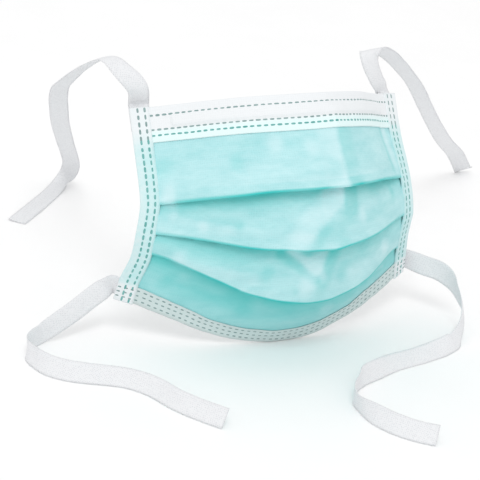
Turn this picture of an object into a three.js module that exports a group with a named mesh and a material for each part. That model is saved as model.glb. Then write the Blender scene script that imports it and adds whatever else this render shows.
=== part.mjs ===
import * as THREE from 'three';

// Pleated tie-on face mask, bowed as when worn and standing on the middle of its lower hem.
// Millimetres, +Z up, outer face towards -Y, wearer's side towards +Y.

// Sizes of the mask body
const MASK_WIDTH = 175;
const STAND_HEIGHT = 129;
const BOWL_DEPTH = 45;
const CLOTH = 1.0;
const CLEARANCE = 0.3;
const BINDING_CLEARANCE = 0.7;
const TOP_HEM = 17.6;
const TOP_HEM_BACK = 12;
const BOTTOM_HEM = 9.4;
const BOTTOM_HEM_BACK = 8;
const BINDING_WIDTH = 10;
const EDGE_INSET = 1.6;
const FOLD_LIFT = 1.4;
const FOLD_RECESS = 1.2;
const REST_FLAT = 0.45;

// Sizes of the nose wire
const WIRE_LENGTH = 132;
const WIRE_WIDTH = 3.2;
const WIRE_THICKNESS = 1.0;
const WIRE_DOWN = 6.4;

// Sizes of the ties
const TIE_WIDTH = 10;
const TIE_THICKNESS = 1.0;
const TIE_OVERLAP = 11;
const TIE_STEP = 5;
const REACH_UPPER_LEFT = 170;
const REACH_UPPER_RIGHT = 210;
const REACH_LOWER_LEFT = 110;
const REACH_LOWER_RIGHT = 150;

// Mesh steps
const COLUMNS = 28;
const BINDING_ROWS = 34;

// Lines across the mask, from the top edge to the bottom edge.
// down: share of the side height. turn, flare: plan angle at the side, in radians, from its first and third
// power terms. front: share of the bowl depth. middle, side: heights as shares of the standing height.
// flat: how early the height levels out towards the side.
const LINES = [
  { name: 'top edge', down: 0.0, turn: 1.8, flare: -1.54, front: 0.38, middle: 1.0, side: 0.85, flat: -0.68 },
  { name: 'hem line', down: 0.19, turn: 1.68, flare: -1.3, front: 0.587, middle: 0.885, side: 0.735, flat: -0.84 },
  { name: 'fold 1', down: 0.495, turn: 1.57, flare: -1.16, front: 0.922, middle: 0.697, side: 0.556, flat: -0.6 },
  { name: 'fold 2', down: 0.65, turn: 1.48, flare: -1.0, front: 0.996, middle: 0.463, side: 0.439, flat: 0.6 },
  { name: 'fold 3', down: 0.775, turn: 1.23, flare: -0.7, front: 0.84, middle: 0.218, side: 0.343, flat: -1.3 },
  { name: 'lower hem line', down: 0.9, turn: 0.74, flare: -0.25, front: 0.513, middle: 0.06, side: 0.245, flat: -0.7 },
  { name: 'bottom edge', down: 1.0, turn: 0.5, flare: 0.13, front: 0.425, middle: 0.0, side: 0.161, flat: -0.8 },
];

// Pleats, from the top. line: the line its fold edge follows. side, middle: hidden depth in mm.
const PLEATS = [
  { line: 2, side: 9.0, middle: 2.6 },
  { line: 3, side: 9.0, middle: 2.2 },
  { line: 4, side: 8.4, middle: 3.0 },
];

// Routes of the ties, from the corner to the free end.
// out, back: shares of the tie's reach from its corner, out from the middle and towards the wearer.
// up: share of the corner's height above the floor. heading, tilt: direction across the tape, in degrees.
const UPPER_LEFT_ROUTE = [
  { out: 0.01, back: 0.0, up: 1.09, heading: -10, tilt: 0 },
  { out: 0.053, back: 0.022, up: 1.162, heading: 2, tilt: 2 },
  { out: 0.072, back: 0.05, up: 1.192, heading: 10, tilt: 4 },
  { out: 0.079, back: 0.092, up: 1.18, heading: 16, tilt: 4 },
  { out: 0.082, back: 0.165, up: 1.12, heading: 20, tilt: 0 },
  { out: 0.078, back: 0.265, up: 1.028, heading: 26, tilt: -6 },
  { out: 0.066, back: 0.375, up: 0.92, heading: 28, tilt: -12 },
  { out: 0.046, back: 0.465, up: 0.835, heading: 28, tilt: -16 },
  { out: 0.016, back: 0.545, up: 0.74, heading: 24, tilt: -18 },
  { out: -0.018, back: 0.615, up: 0.64, heading: 14, tilt: -18 },
  { out: -0.06, back: 0.695, up: 0.52, heading: 0, tilt: -18 },
  { out: -0.122, back: 0.795, up: 0.365, heading: -14, tilt: -14 },
  { out: -0.18, back: 0.885, up: 0.23, heading: -26, tilt: -8 },
  { out: -0.216, back: 0.945, up: 0.13, heading: -42, tilt: 0 },
  { out: -0.222, back: 0.982, up: 0.06, heading: -54, tilt: 5 },
  { out: -0.2, back: 0.982, up: 0.018, heading: -62, tilt: 6 },
  { out: -0.155, back: 0.93, up: 0.0, heading: -60, tilt: 2 },
  { out: -0.06, back: 0.825, up: 0.0, heading: -54, tilt: -4 },
  { out: 0.052, back: 0.71, up: 0.0, heading: -60, tilt: -4 },
];
const UPPER_RIGHT_ROUTE = [
  { out: -0.018, back: 0.014, up: 1.036, heading: 30, tilt: 0 },
  { out: -0.0355, back: 0.012, up: 1.085, heading: 22, tilt: 2 },
  { out: -0.049, back: 0.018, up: 1.143, heading: 10, tilt: 6 },
  { out: -0.047, back: 0.03, up: 1.178, heading: -6, tilt: 12 },
  { out: -0.014, back: 0.062, up: 1.172, heading: -18, tilt: 16 },
  { out: 0.04, back: 0.104, up: 1.125, heading: -28, tilt: 14 },
  { out: 0.098, back: 0.151, up: 1.052, heading: -34, tilt: 8 },
  { out: 0.181, back: 0.218, up: 0.93, heading: -38, tilt: 2 },
  { out: 0.251, back: 0.28, up: 0.818, heading: -38, tilt: -2 },
  { out: 0.346, back: 0.37, up: 0.641, heading: -38, tilt: -4 },
  { out: 0.435, back: 0.451, up: 0.475, heading: -38, tilt: 2 },
  { out: 0.525, back: 0.532, up: 0.318, heading: -36, tilt: 12 },
  { out: 0.632, back: 0.623, up: 0.154, heading: -36, tilt: 24 },
  { out: 0.706, back: 0.68, up: 0.0, heading: -38, tilt: 32 },
];
const LOWER_LEFT_ROUTE = [
  { out: 0.05, back: 0.035, up: 0.9, heading: 60, tilt: 72 },
  { out: 0.108, back: 0.03, up: 0.745, heading: 62, tilt: 70 },
  { out: 0.172, back: 0.024, up: 0.56, heading: 64, tilt: 70 },
  { out: 0.25, back: 0.018, up: 0.36, heading: 66, tilt: 72 },
  { out: 0.33, back: 0.0, up: 0.2, heading: 72, tilt: 76 },
  { out: 0.396, back: -0.05, up: 0.16, heading: 110, tilt: 78 },
  { out: 0.44, back: -0.125, up: 0.08, heading: 40, tilt: 82 },
  { out: 0.432, back: -0.205, up: 0.08, heading: 10, tilt: 76 },
  { out: 0.402, back: -0.275, up: 0.08, heading: 44, tilt: 66 },
  { out: 0.346, back: -0.33, up: 0.08, heading: 62, tilt: 58 },
  { out: 0.276, back: -0.368, up: 0.08, heading: 70, tilt: 52 },
  { out: 0.2, back: -0.4, up: 0.08, heading: 68, tilt: 46 },
  { out: 0.12, back: -0.442, up: 0.08, heading: 60, tilt: 44 },
  { out: 0.065, back: -0.5, up: 0.08, heading: 44, tilt: 46 },
  { out: 0.025, back: -0.575, up: 0.08, heading: 30, tilt: 50 },
  { out: -0.01, back: -0.68, up: 0.08, heading: 26, tilt: 54 },
  { out: -0.07, back: -0.79, up: 0.08, heading: 28, tilt: 56 },
  { out: -0.14, back: -0.89, up: 0.08, heading: 34, tilt: 58 },
];
const LOWER_RIGHT_ROUTE = [
  { out: 0.063, back: -0.042, up: 0.965, heading: 58, tilt: 66 },
  { out: 0.097, back: -0.082, up: 0.94, heading: 60, tilt: 72 },
  { out: 0.117, back: -0.124, up: 0.86, heading: 100, tilt: 80 },
  { out: 0.123, back: -0.172, up: 0.7, heading: 150, tilt: 76 },
  { out: 0.118, back: -0.225, up: 0.53, heading: 165, tilt: 74 },
  { out: 0.098, back: -0.268, up: 0.37, heading: 140, tilt: 78 },
  { out: 0.063, back: -0.31, up: 0.24, heading: 90, tilt: 74 },
  { out: 0.02, back: -0.342, up: 0.08, heading: 84, tilt: 56 },
  { out: -0.023, back: -0.358, up: 0.08, heading: 82, tilt: 42 },
  { out: -0.123, back: -0.385, up: 0.08, heading: 80, tilt: 30 },
  { out: -0.237, back: -0.413, up: 0.08, heading: 76, tilt: 28 },
  { out: -0.317, back: -0.453, up: 0.08, heading: 66, tilt: 34 },
  { out: -0.397, back: -0.5, up: 0.08, heading: 58, tilt: 46 },
  { out: -0.45, back: -0.552, up: 0.08, heading: 48, tilt: 62 },
  { out: -0.494, back: -0.612, up: 0.08, heading: 100, tilt: 84 },
  { out: -0.506, back: -0.673, up: 0.08, heading: 170, tilt: 80 },
  { out: -0.49, back: -0.738, up: 0.08, heading: 60, tilt: 70 },
  { out: -0.455, back: -0.805, up: 0.08, heading: 52, tilt: 56 },
  { out: -0.41, back: -0.86, up: 0.08, heading: 52, tilt: 50 },
  { out: -0.36, back: -0.905, up: 0.08, heading: 48, tilt: 54 },
];

const HALF_WIDTH = MASK_WIDTH / 2;
const LAYER = CLOTH + CLEARANCE;
const BINDING_OFFSET = LAYER + CLOTH + BINDING_CLEARANCE;
const TIE_OFFSET = BINDING_OFFSET + 0.5 * CLOTH + 0.5 * TIE_THICKNESS + 1.7 * CLEARANCE;
const TURN_RADIUS = LAYER / 2;

// A line across the mask as evenly spaced points; its length never changes, only its bend does.
const LINE_STEPS = 60;
function lineTable(line) {
  const step = HALF_WIDTH / LINE_STEPS;
  const points = [new THREE.Vector3(0, 0, 0)];
  const rise = (line.side - line.middle) * STAND_HEIGHT;
  let x = 0;
  let y = 0;
  for (let i = 0; i < LINE_STEPS + 6; i += 1) {
    const share = (i + 0.5) / LINE_STEPS;
    const angle = line.turn * share + line.flare * share ** 3;
    const slope = (rise * (2 * share * (1 - line.flat) + 4 * line.flat * share ** 3)) / HALF_WIDTH;
    const level = Math.sqrt(Math.max(0.3, 1 - slope * slope));
    x += step * Math.cos(angle) * level;
    y += step * Math.sin(angle) * level;
    const next = (i + 1) / LINE_STEPS;
    const z = rise * (next ** 2 * (1 - line.flat) + line.flat * next ** 4);
    points.push(new THREE.Vector3(x, y, z));
  }
  return points;
}
const LINE_TABLES = LINES.map(lineTable);

function linePoint(index, across) {
  const line = LINES[index];
  const table = LINE_TABLES[index];
  const place = (Math.abs(across) / HALF_WIDTH) * LINE_STEPS;
  const low = Math.min(Math.floor(place), table.length - 2);
  const point = table[low].clone().lerp(table[low + 1], place - low);
  point.x *= Math.sign(across) || 1;
  point.y -= line.front * BOWL_DEPTH;
  point.z += line.middle * STAND_HEIGHT;
  return point;
}

// Smooth curve down the mask at one place across it. ROUNDNESS below 1 keeps the bend close to the lines.
const ROUNDNESS = 0.8;
function columnKnots(across) {
  const points = LINES.map((line, index) => linePoint(index, across));
  const tangents = points.map((point, index) => {
    const before = Math.max(index - 1, 0);
    const after = Math.min(index + 1, points.length - 1);
    const span = LINES[after].down - LINES[before].down;
    return points[after].clone().sub(points[before]).multiplyScalar(ROUNDNESS / span);
  });
  return { points, tangents };
}

function knotPoint(knots, down) {
  let low = 0;
  while (low < LINES.length - 2 && down > LINES[low + 1].down) {
    low += 1;
  }
  const span = LINES[low + 1].down - LINES[low].down;
  const t = (down - LINES[low].down) / span;
  const a = 2 * t ** 3 - 3 * t ** 2 + 1;
  const b = t ** 3 - 2 * t ** 2 + t;
  const c = -2 * t ** 3 + 3 * t ** 2;
  const d = t ** 3 - t ** 2;
  return new THREE.Vector3()
    .addScaledVector(knots.points[low], a)
    .addScaledVector(knots.tangents[low], b * span)
    .addScaledVector(knots.points[low + 1], c)
    .addScaledVector(knots.tangents[low + 1], d * span);
}

// One column of the surface, with places along it measured in mm from the top edge.
const COLUMN_STEPS = 120;
const columnCache = new Map();
function column(across) {
  const key = across.toFixed(4);
  if (columnCache.has(key)) {
    return columnCache.get(key);
  }
  const knots = columnKnots(across);
  const left = columnKnots(across - 0.5);
  const right = columnKnots(across + 0.5);
  const lengths = [0];
  let last = knotPoint(knots, 0);
  for (let i = 1; i <= COLUMN_STEPS; i += 1) {
    const point = knotPoint(knots, i / COLUMN_STEPS);
    lengths.push(lengths[i - 1] + point.distanceTo(last));
    last = point;
  }
  const total = lengths[COLUMN_STEPS];
  const downAt = (length) => {
    let low = 0;
    while (low < COLUMN_STEPS - 1 && length > lengths[low + 1]) {
      low += 1;
    }
    const part = (length - lengths[low]) / (lengths[low + 1] - lengths[low]);
    return (low + part) / COLUMN_STEPS;
  };
  const lengthAt = (down) => {
    const place = down * COLUMN_STEPS;
    const low = Math.min(Math.floor(place), COLUMN_STEPS - 1);
    return lengths[low] + (place - low) * (lengths[low + 1] - lengths[low]);
  };
  const frameAt = (length) => {
    const down = downAt(length);
    const point = knotPoint(knots, down);
    const along = knotPoint(knots, down + 0.004).sub(knotPoint(knots, down - 0.004)).normalize();
    const side = knotPoint(right, down).sub(knotPoint(left, down)).normalize();
    const normal = new THREE.Vector3().crossVectors(along, side).normalize();
    return { point, along, side, normal };
  };
  const place = (length, outward) => {
    const frame = frameAt(length);
    return frame.point.addScaledVector(frame.normal, outward);
  };
  const result = { total, lengthAt, frameAt, place };
  columnCache.set(key, result);
  return result;
}

// Both sides of a thin open section, at half the cloth's thickness from its centre line.
function thicken(points, thickness) {
  const front = [];
  const back = [];
  for (let i = 0; i < points.length; i += 1) {
    const before = points[Math.max(i - 1, 0)];
    const after = points[Math.min(i + 1, points.length - 1)];
    const here = points[i];
    const first = new THREE.Vector2(here.x - before.x, here.y - before.y);
    const second = new THREE.Vector2(after.x - here.x, after.y - here.y);
    if (i === 0) {
      first.copy(second);
    }
    if (i === points.length - 1) {
      second.copy(first);
    }
    first.normalize();
    second.normalize();
    const middle = first.clone().add(second).normalize();
    const reach = thickness / 2 / Math.max(0.6, middle.dot(first));
    front.push(new THREE.Vector2(here.x - middle.y * reach, here.y + middle.x * reach));
    back.push(new THREE.Vector2(here.x + middle.y * reach, here.y - middle.x * reach));
  }
  return { front, back };
}

// Closed solid from a row of sections. Each section lists its front points, then as many back points.
function solidFromSections(sections) {
  const rows = sections[0].front.length;
  const ring = 2 * rows;
  const positions = [];
  for (const section of sections) {
    for (const point of section.front) {
      positions.push(point.x, point.y, point.z);
    }
    for (let i = rows - 1; i >= 0; i -= 1) {
      positions.push(section.back[i].x, section.back[i].y, section.back[i].z);
    }
  }
  const index = [];
  for (let c = 0; c + 1 < sections.length; c += 1) {
    for (let i = 0; i < ring; i += 1) {
      const next = (i + 1) % ring;
      const a = c * ring + i;
      const b = c * ring + next;
      const d = (c + 1) * ring + i;
      const e = (c + 1) * ring + next;
      index.push(a, b, e, a, e, d);
    }
  }
  const end = (sections.length - 1) * ring;
  for (let i = 0; i + 1 < rows; i += 1) {
    const j = ring - 1 - i;
    index.push(i, j, j - 1, i, j - 1, i + 1);
    index.push(end + i, end + j - 1, end + j, end + i, end + i + 1, end + j - 1);
  }
  return { positions, index };
}

function signedVolume(solid) {
  const p = solid.positions;
  let sum = 0;
  for (let i = 0; i < solid.index.length; i += 3) {
    const [a, b, c] = [solid.index[i] * 3, solid.index[i + 1] * 3, solid.index[i + 2] * 3];
    sum += p[a] * (p[b + 1] * p[c + 2] - p[b + 2] * p[c + 1]);
    sum += p[a + 1] * (p[b + 2] * p[c] - p[b] * p[c + 2]);
    sum += p[a + 2] * (p[b] * p[c + 1] - p[b + 1] * p[c]);
  }
  return sum / 6;
}

function faceOutwards(solid) {
  if (signedVolume(solid) < 0) {
    for (let i = 0; i < solid.index.length; i += 3) {
      const keep = solid.index[i + 1];
      solid.index[i + 1] = solid.index[i + 2];
      solid.index[i + 2] = keep;
    }
  }
  return solid;
}

function placeSection(points, thickness, toSpace) {
  const sides = thicken(points, thickness);
  return { front: sides.front.map(toSpace), back: sides.back.map(toSpace) };
}

// How far a place is from the bindings: 1 in the middle, 0 at their inner edges.
function openness(across) {
  const share = Math.abs(across) / (HALF_WIDTH - BINDING_WIDTH);
  return Math.max(0, 1 - share * share);
}

// Section of the pleated sheet at one column: x is mm down from the top edge, y is mm outwards.
function panelSection(across) {
  const here = column(across);
  const share = Math.min(1, Math.abs(across) / HALF_WIDTH);
  const lift = FOLD_LIFT * openness(across);
  const recess = FOLD_RECESS * openness(across);
  const points = [];
  let start = TOP_HEM + 1.5;
  let level = 0;
  points.push(new THREE.Vector2(EDGE_INSET, 0));
  points.push(new THREE.Vector2(TOP_HEM * 0.6, 0));
  points.push(new THREE.Vector2(TOP_HEM, 0));
  points.push(new THREE.Vector2(start, 0));
  for (const pleat of PLEATS) {
    const edge = here.lengthAt(LINES[pleat.line].down);
    const depth = pleat.middle + (pleat.side - pleat.middle) * share ** 2;
    const top = edge - depth;
    for (const part of [0.3, 0.65]) {
      const ease = part * part * (3 - 2 * part);
      points.push(new THREE.Vector2(start + (top - start) * part, level + (LAYER - level) * ease));
    }
    points.push(new THREE.Vector2(top, LAYER));
    points.push(new THREE.Vector2(edge - TURN_RADIUS, LAYER + lift));
    points.push(new THREE.Vector2(edge, LAYER / 2 + lift));
    points.push(new THREE.Vector2(edge - TURN_RADIUS, lift));
    points.push(new THREE.Vector2(top + TURN_RADIUS, 0));
    points.push(new THREE.Vector2(top, -LAYER / 2));
    points.push(new THREE.Vector2(top + TURN_RADIUS, -LAYER));
    points.push(new THREE.Vector2(edge - 0.3, -LAYER - recess));
    start = edge + 0.4;
    level = -LAYER - recess;
  }
  const hem = here.total - BOTTOM_HEM - 1.5;
  for (const part of [0.3, 0.65]) {
    const ease = part * part * (3 - 2 * part);
    points.push(new THREE.Vector2(start + (hem - start) * part, level * (1 - ease)));
  }
  points.push(new THREE.Vector2(hem, 0));
  points.push(new THREE.Vector2(here.total - BOTTOM_HEM * 0.5, 0));
  points.push(new THREE.Vector2(here.total - EDGE_INSET, 0));
  return placeSection(points, CLOTH, (point) => here.place(point.x, point.y));
}

// Places across the mask between the bindings; every piece there shares them.
const FREE_HALF = HALF_WIDTH - BINDING_WIDTH - CLEARANCE;
const PLACES = [];
for (let i = 0; i <= COLUMNS; i += 1) {
  PLACES.push(-FREE_HALF + (2 * FREE_HALF * i) / COLUMNS);
}

function pleatedPanel() {
  const edge = HALF_WIDTH - EDGE_INSET;
  const middle = (edge + FREE_HALF) / 2;
  return solidFromSections([-edge, -middle, ...PLACES, middle, edge].map(panelSection));
}

// Height of the ridge that the nose wire raises in the top hem.
function wireRidge(across) {
  const past = (Math.abs(across) - WIRE_LENGTH / 2) / 3.5 - 1.5;
  return (WIRE_THICKNESS + CLEARANCE) * Math.min(1, Math.max(0, 1 - past));
}

function topHemSection(across) {
  const here = column(across);
  const ridge = LAYER + wireRidge(across);
  const points = [
    [TOP_HEM, LAYER],
    [TOP_HEM * 0.74, LAYER],
    [WIRE_DOWN + WIRE_WIDTH + 1.9, LAYER],
    [WIRE_DOWN + WIRE_WIDTH + 0.6, ridge],
    [WIRE_DOWN - 0.6, ridge],
    [WIRE_DOWN - 1.9, LAYER],
    [1.8, LAYER],
    [0.8, LAYER * 0.75],
    [0.5, 0],
    [0.8, -LAYER * 0.75],
    [1.8, -LAYER],
    [TOP_HEM_BACK * 0.5, -LAYER],
    [TOP_HEM_BACK, -LAYER],
  ].map(([down, out]) => new THREE.Vector2(down, out));
  return placeSection(points, CLOTH, (point) => here.place(point.x, point.y));
}

function bottomHemSection(across) {
  const here = column(across);
  const points = [
    [BOTTOM_HEM, LAYER],
    [BOTTOM_HEM * 0.5, LAYER],
    [1.8, LAYER],
    [0.8, LAYER * 0.75],
    [0.5, 0],
    [0.8, -LAYER * 0.75],
    [1.8, -LAYER],
    [BOTTOM_HEM_BACK * 0.5, -LAYER],
    [BOTTOM_HEM_BACK, -LAYER],
  ].map(([up, out]) => new THREE.Vector2(here.total - up, out));
  return placeSection(points, CLOTH, (point) => here.place(point.x, point.y));
}

function hem(section) {
  return solidFromSections(PLACES.map(section));
}

function noseWire() {
  const bottom = 0.5 * CLOTH + CLEARANCE;
  const build = (across) => {
    const here = column(across);
    const wide = [WIRE_DOWN, WIRE_DOWN + WIRE_WIDTH];
    return {
      front: wide.map((down) => here.place(down, bottom + WIRE_THICKNESS)),
      back: wide.map((down) => here.place(down, bottom)),
    };
  };
  const half = WIRE_LENGTH / 2;
  const inner = PLACES.filter((across) => Math.abs(across) < half - 1);
  return solidFromSections([-half, ...inner, half].map(build));
}

// Folded tape along one side. x is mm inwards from the side edge, y is mm outwards.
function sideBinding(hand) {
  const points = [
    [BINDING_WIDTH, BINDING_OFFSET],
    [2.2, BINDING_OFFSET],
    [0.9, BINDING_OFFSET * 0.72],
    [0.5, 0],
    [0.9, -BINDING_OFFSET * 0.72],
    [2.2, -BINDING_OFFSET],
    [BINDING_WIDTH, -BINDING_OFFSET],
  ].map(([inward, out]) => new THREE.Vector2(inward, out));
  const sections = [];
  for (let i = 0; i <= BINDING_ROWS; i += 1) {
    const share = i / BINDING_ROWS;
    sections.push(placeSection(points, CLOTH, (point) => {
      const here = column(hand * (HALF_WIDTH - point.x));
      return here.place(here.total * share, point.y);
    }));
  }
  return solidFromSections(sections);
}

// Flat tape along a curve. Each station has a place and a direction across the tape.
function tapeSolid(stations) {
  const curve = new THREE.CatmullRomCurve3(stations.map((station) => station.point), false, 'centripetal');
  const across = new THREE.CatmullRomCurve3(stations.map((station) => station.across), false, 'catmullrom', 0.4);
  const sections = [];
  const spans = stations.length - 1;
  for (let i = 0; i < spans; i += 1) {
    const length = stations[i].point.distanceTo(stations[i + 1].point);
    const pieces = Math.max(1, Math.round(length / TIE_STEP));
    for (let j = 0; j < pieces + (i === spans - 1 ? 1 : 0); j += 1) {
      const t = (i + j / pieces) / spans;
      const point = curve.getPoint(t);
      const tangent = curve.getTangent(t);
      const wide = across.getPoint(t);
      wide.addScaledVector(tangent, -wide.dot(tangent)).normalize();
      const flat = new THREE.Vector3().crossVectors(tangent, wide).normalize();
      const low = (TIE_WIDTH / 2) * Math.abs(wide.z) + (TIE_THICKNESS / 2) * Math.abs(flat.z);
      point.z = Math.max(point.z, low);
      const corner = (a, b) => point.clone()
        .addScaledVector(wide, (a * TIE_WIDTH) / 2)
        .addScaledVector(flat, (b * TIE_THICKNESS) / 2);
      sections.push({
        front: [corner(-1, 1), corner(1, 1)],
        back: [corner(-1, -1), corner(1, -1)],
      });
    }
  }
  return solidFromSections(sections);
}

// Directions given by a heading in the floor plane and a tilt above it.
function direction(heading, tilt) {
  const h = THREE.MathUtils.degToRad(heading);
  const t = THREE.MathUtils.degToRad(tilt);
  return new THREE.Vector3(Math.cos(h) * Math.cos(t), Math.sin(h) * Math.cos(t), Math.sin(t));
}

function tieSolid(hand, upper, reach, route) {
  const edge = HALF_WIDTH - BINDING_WIDTH / 2;
  const stations = [];
  let corner = null;
  if (upper) {
    const here = column(hand * edge);
    for (const down of [TIE_OVERLAP, TIE_OVERLAP / 2, 0.5, -2]) {
      const frame = here.frameAt(down);
      stations.push({ point: here.place(down, -TIE_OFFSET), across: frame.side });
    }
    corner = here.place(0, 0);
  } else {
    const inside = HALF_WIDTH - TIE_OVERLAP;
    for (const place of [inside, (inside + HALF_WIDTH) / 2, HALF_WIDTH - 0.5, HALF_WIDTH + 2]) {
      const here = column(hand * place);
      const down = here.total - TIE_WIDTH / 2 - 0.5;
      const frame = here.frameAt(down);
      stations.push({ point: here.place(down, -TIE_OFFSET), across: frame.along.negate() });
    }
    const rim = column(hand * HALF_WIDTH);
    corner = rim.place(rim.total - TIE_WIDTH / 2 - 0.5, 0);
  }
  for (const row of route) {
    const point = new THREE.Vector3(
      corner.x + hand * row.out * reach,
      corner.y + row.back * reach,
      corner.z * row.up,
    );
    stations.push({ point, across: direction(row.heading, row.tilt) });
  }
  return tapeSolid(stations);
}

// The lowest part of the hem is pressed flat where the mask stands on it.
function pressFlat(solid) {
  for (let i = 2; i < solid.positions.length; i += 3) {
    solid.positions[i] = Math.max(solid.positions[i], 0);
  }
  return solid;
}

function lowest(solid) {
  let low = Infinity;
  for (let i = 2; i < solid.positions.length; i += 3) {
    low = Math.min(low, solid.positions[i]);
  }
  return low;
}

function shift(solid, x, y, z) {
  for (let i = 0; i < solid.positions.length; i += 3) {
    solid.positions[i] += x;
    solid.positions[i + 1] += y;
    solid.positions[i + 2] += z;
  }
}

const body = {
  pleated_panel: pleatedPanel(),
  top_hem: hem(topHemSection),
  bottom_hem: hem(bottomHemSection),
  side_binding_left: sideBinding(-1),
  side_binding_right: sideBinding(1),
  nose_wire: noseWire(),
};
const ties = {
  tie_upper_left: tieSolid(-1, true, REACH_UPPER_LEFT, UPPER_LEFT_ROUTE),
  tie_upper_right: tieSolid(1, true, REACH_UPPER_RIGHT, UPPER_RIGHT_ROUTE),
  tie_lower_left: tieSolid(-1, false, REACH_LOWER_LEFT, LOWER_LEFT_ROUTE),
  tie_lower_right: tieSolid(1, false, REACH_LOWER_RIGHT, LOWER_RIGHT_ROUTE),
};

// Stand the body on its hem, press the contact flat and put the middle of the whole box over the origin.
const lift = -lowest(body.bottom_hem) - REST_FLAT;
for (const solid of Object.values(body)) {
  shift(solid, 0, 0, lift);
}
pressFlat(body.bottom_hem);

const WHITE = { color: '#F0F3F6', roughness: 0.9 };
const LOOKS = {
  pleated_panel: { color: '#86D6D2', roughness: 0.92 },
  top_hem: WHITE,
  bottom_hem: { color: '#E4EDEF', roughness: 0.9 },
  side_binding_left: { color: '#E2F0F1', roughness: 0.9 },
  side_binding_right: { color: '#E2F0F1', roughness: 0.9 },
  nose_wire: { color: '#E9ECEE', roughness: 0.6 },
  tie_upper_left: { color: '#E8E9EC', roughness: 0.9 },
  tie_upper_right: { color: '#E8E9EC', roughness: 0.9 },
  tie_lower_left: { color: '#E8E9EC', roughness: 0.9 },
  tie_lower_right: { color: '#E8E9EC', roughness: 0.9 },
};

const pieces = { ...body, ...ties };
const box = new THREE.Box3();
for (const solid of Object.values(pieces)) {
  for (let i = 0; i < solid.positions.length; i += 3) {
    box.expandByPoint(new THREE.Vector3(solid.positions[i], solid.positions[i + 1], solid.positions[i + 2]));
  }
}
const centre = box.getCenter(new THREE.Vector3());

const group = new THREE.Group();
group.name = 'surgical_face_mask';
for (const [name, solid] of Object.entries(pieces)) {
  shift(solid, -centre.x, -centre.y, 0);
  faceOutwards(solid);
  const geometry = new THREE.BufferGeometry();
  geometry.setAttribute('position', new THREE.Float32BufferAttribute(solid.positions, 3));
  geometry.setIndex(solid.index);
  geometry.computeVertexNormals();
  const look = LOOKS[name];
  const material = new THREE.MeshStandardMaterial({ color: look.color, roughness: look.roughness, metalness: 0 });
  const mesh = new THREE.Mesh(geometry, material);
  mesh.name = name;
  group.add(mesh);
}

export default group;
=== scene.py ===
import math

import bpy
from mathutils import Matrix, Vector, noise


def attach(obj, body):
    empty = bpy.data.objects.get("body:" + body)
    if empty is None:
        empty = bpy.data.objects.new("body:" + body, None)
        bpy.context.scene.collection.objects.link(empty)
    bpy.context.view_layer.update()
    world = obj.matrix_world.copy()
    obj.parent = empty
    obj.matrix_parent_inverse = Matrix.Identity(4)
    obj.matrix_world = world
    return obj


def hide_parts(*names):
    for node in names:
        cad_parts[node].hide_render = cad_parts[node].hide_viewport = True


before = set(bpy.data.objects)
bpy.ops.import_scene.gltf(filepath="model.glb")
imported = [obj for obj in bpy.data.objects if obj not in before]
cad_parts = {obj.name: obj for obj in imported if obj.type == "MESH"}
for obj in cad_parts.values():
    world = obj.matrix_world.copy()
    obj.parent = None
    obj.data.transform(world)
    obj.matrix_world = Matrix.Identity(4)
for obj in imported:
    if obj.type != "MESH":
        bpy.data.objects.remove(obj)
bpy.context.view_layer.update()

bl_info = {
    "name": "Pleated tie-on mask",
    "version": (1, 0, 0),
    "blender": (4, 5, 0),
    "location": "View3D > Sidebar > Mask",
    "description": "Builds a pleated nonwoven mask with hems, bindings, weld dashes and tie tapes",
    "category": "Add Mesh",
}

MM = 0.001

# Lines across the mask, from the top edge to the bottom edge, as in the solids.
# down: share of the side height. turn, flare: plan angle at the side. front: share of the bowl depth.
# middle, side: heights as shares of the standing height. flat: how early the height levels out.
LINE_COLUMNS = ("down", "turn", "flare", "front", "middle", "side", "flat")
LINES = [
    dict(zip(LINE_COLUMNS, row))
    for row in (
        (0.0, 1.8, -1.54, 0.38, 1.0, 0.85, -0.68),
        (0.19, 1.68, -1.3, 0.587, 0.885, 0.735, -0.84),
        (0.495, 1.57, -1.16, 0.922, 0.697, 0.556, -0.6),
        (0.65, 1.48, -1.0, 0.996, 0.463, 0.439, 0.6),
        (0.775, 1.23, -0.7, 0.84, 0.218, 0.343, -1.3),
        (0.9, 0.74, -0.25, 0.513, 0.06, 0.245, -0.7),
        (1.0, 0.5, 0.13, 0.425, 0.0, 0.161, -0.8),
    )
]
LINE_STEPS = 60
COLUMN_STEPS = 120
ROUNDNESS = 0.8

# Pleats, from the top: the line of the fold edge, and the hidden depth at the side and in the middle.
# left, centre, right: how far, in mm, the fold edge lies below its line there.
PLEATS = [
    {"line": 2, "side": 9.0, "middle": 4.0, "left": 1.4, "centre": -0.6, "right": -3.4},
    {"line": 3, "side": 9.0, "middle": 3.6, "left": -1.0, "centre": -2.0, "right": 0.0},
    {"line": 4, "side": 8.4, "middle": 4.2, "left": -3.0, "centre": -4.5, "right": 8.0},
]

# Where the solids' own box has its middle, and how far the body drops onto its hem.
BODY_SHIFT = Vector((-45.38, -29.04, -0.21))
TIE_SHIFT = Vector((-45.38, -29.04, 0.0))

# Thickness of the cloths.
SHEET = 0.5
HEM_CLOTH = 0.34
TAPE_CLOTH = 0.34
TIE_CLOTH = 0.36

# How far one layer of a pleat lies over the next, and a hem over the sheet's middle surface.
PLEAT_LAYER = 0.65
HEM_OUT = 0.62

# The sheet and the hems end this far inside the mask's edges, under the bindings.
SHEET_INSET = 1.4
BAND_INSET = 2.0

# How far a binding reaches past the mask's edge. Below 0 it stays inside.
BINDING_OUTSET = -0.5

# Steps down a binding at which the layers under it are measured.
STACK_STEPS = 200

# The nose wire: its place below the top edge, its size, and how far it raises the top hem.
WIRE_DOWN = 6.4
WIRE_WIDTH = 3.2
WIRE_LENGTH = 132.0
WIRE_BULGE = 0.3
WIRE_RAISE = 0.95

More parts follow.
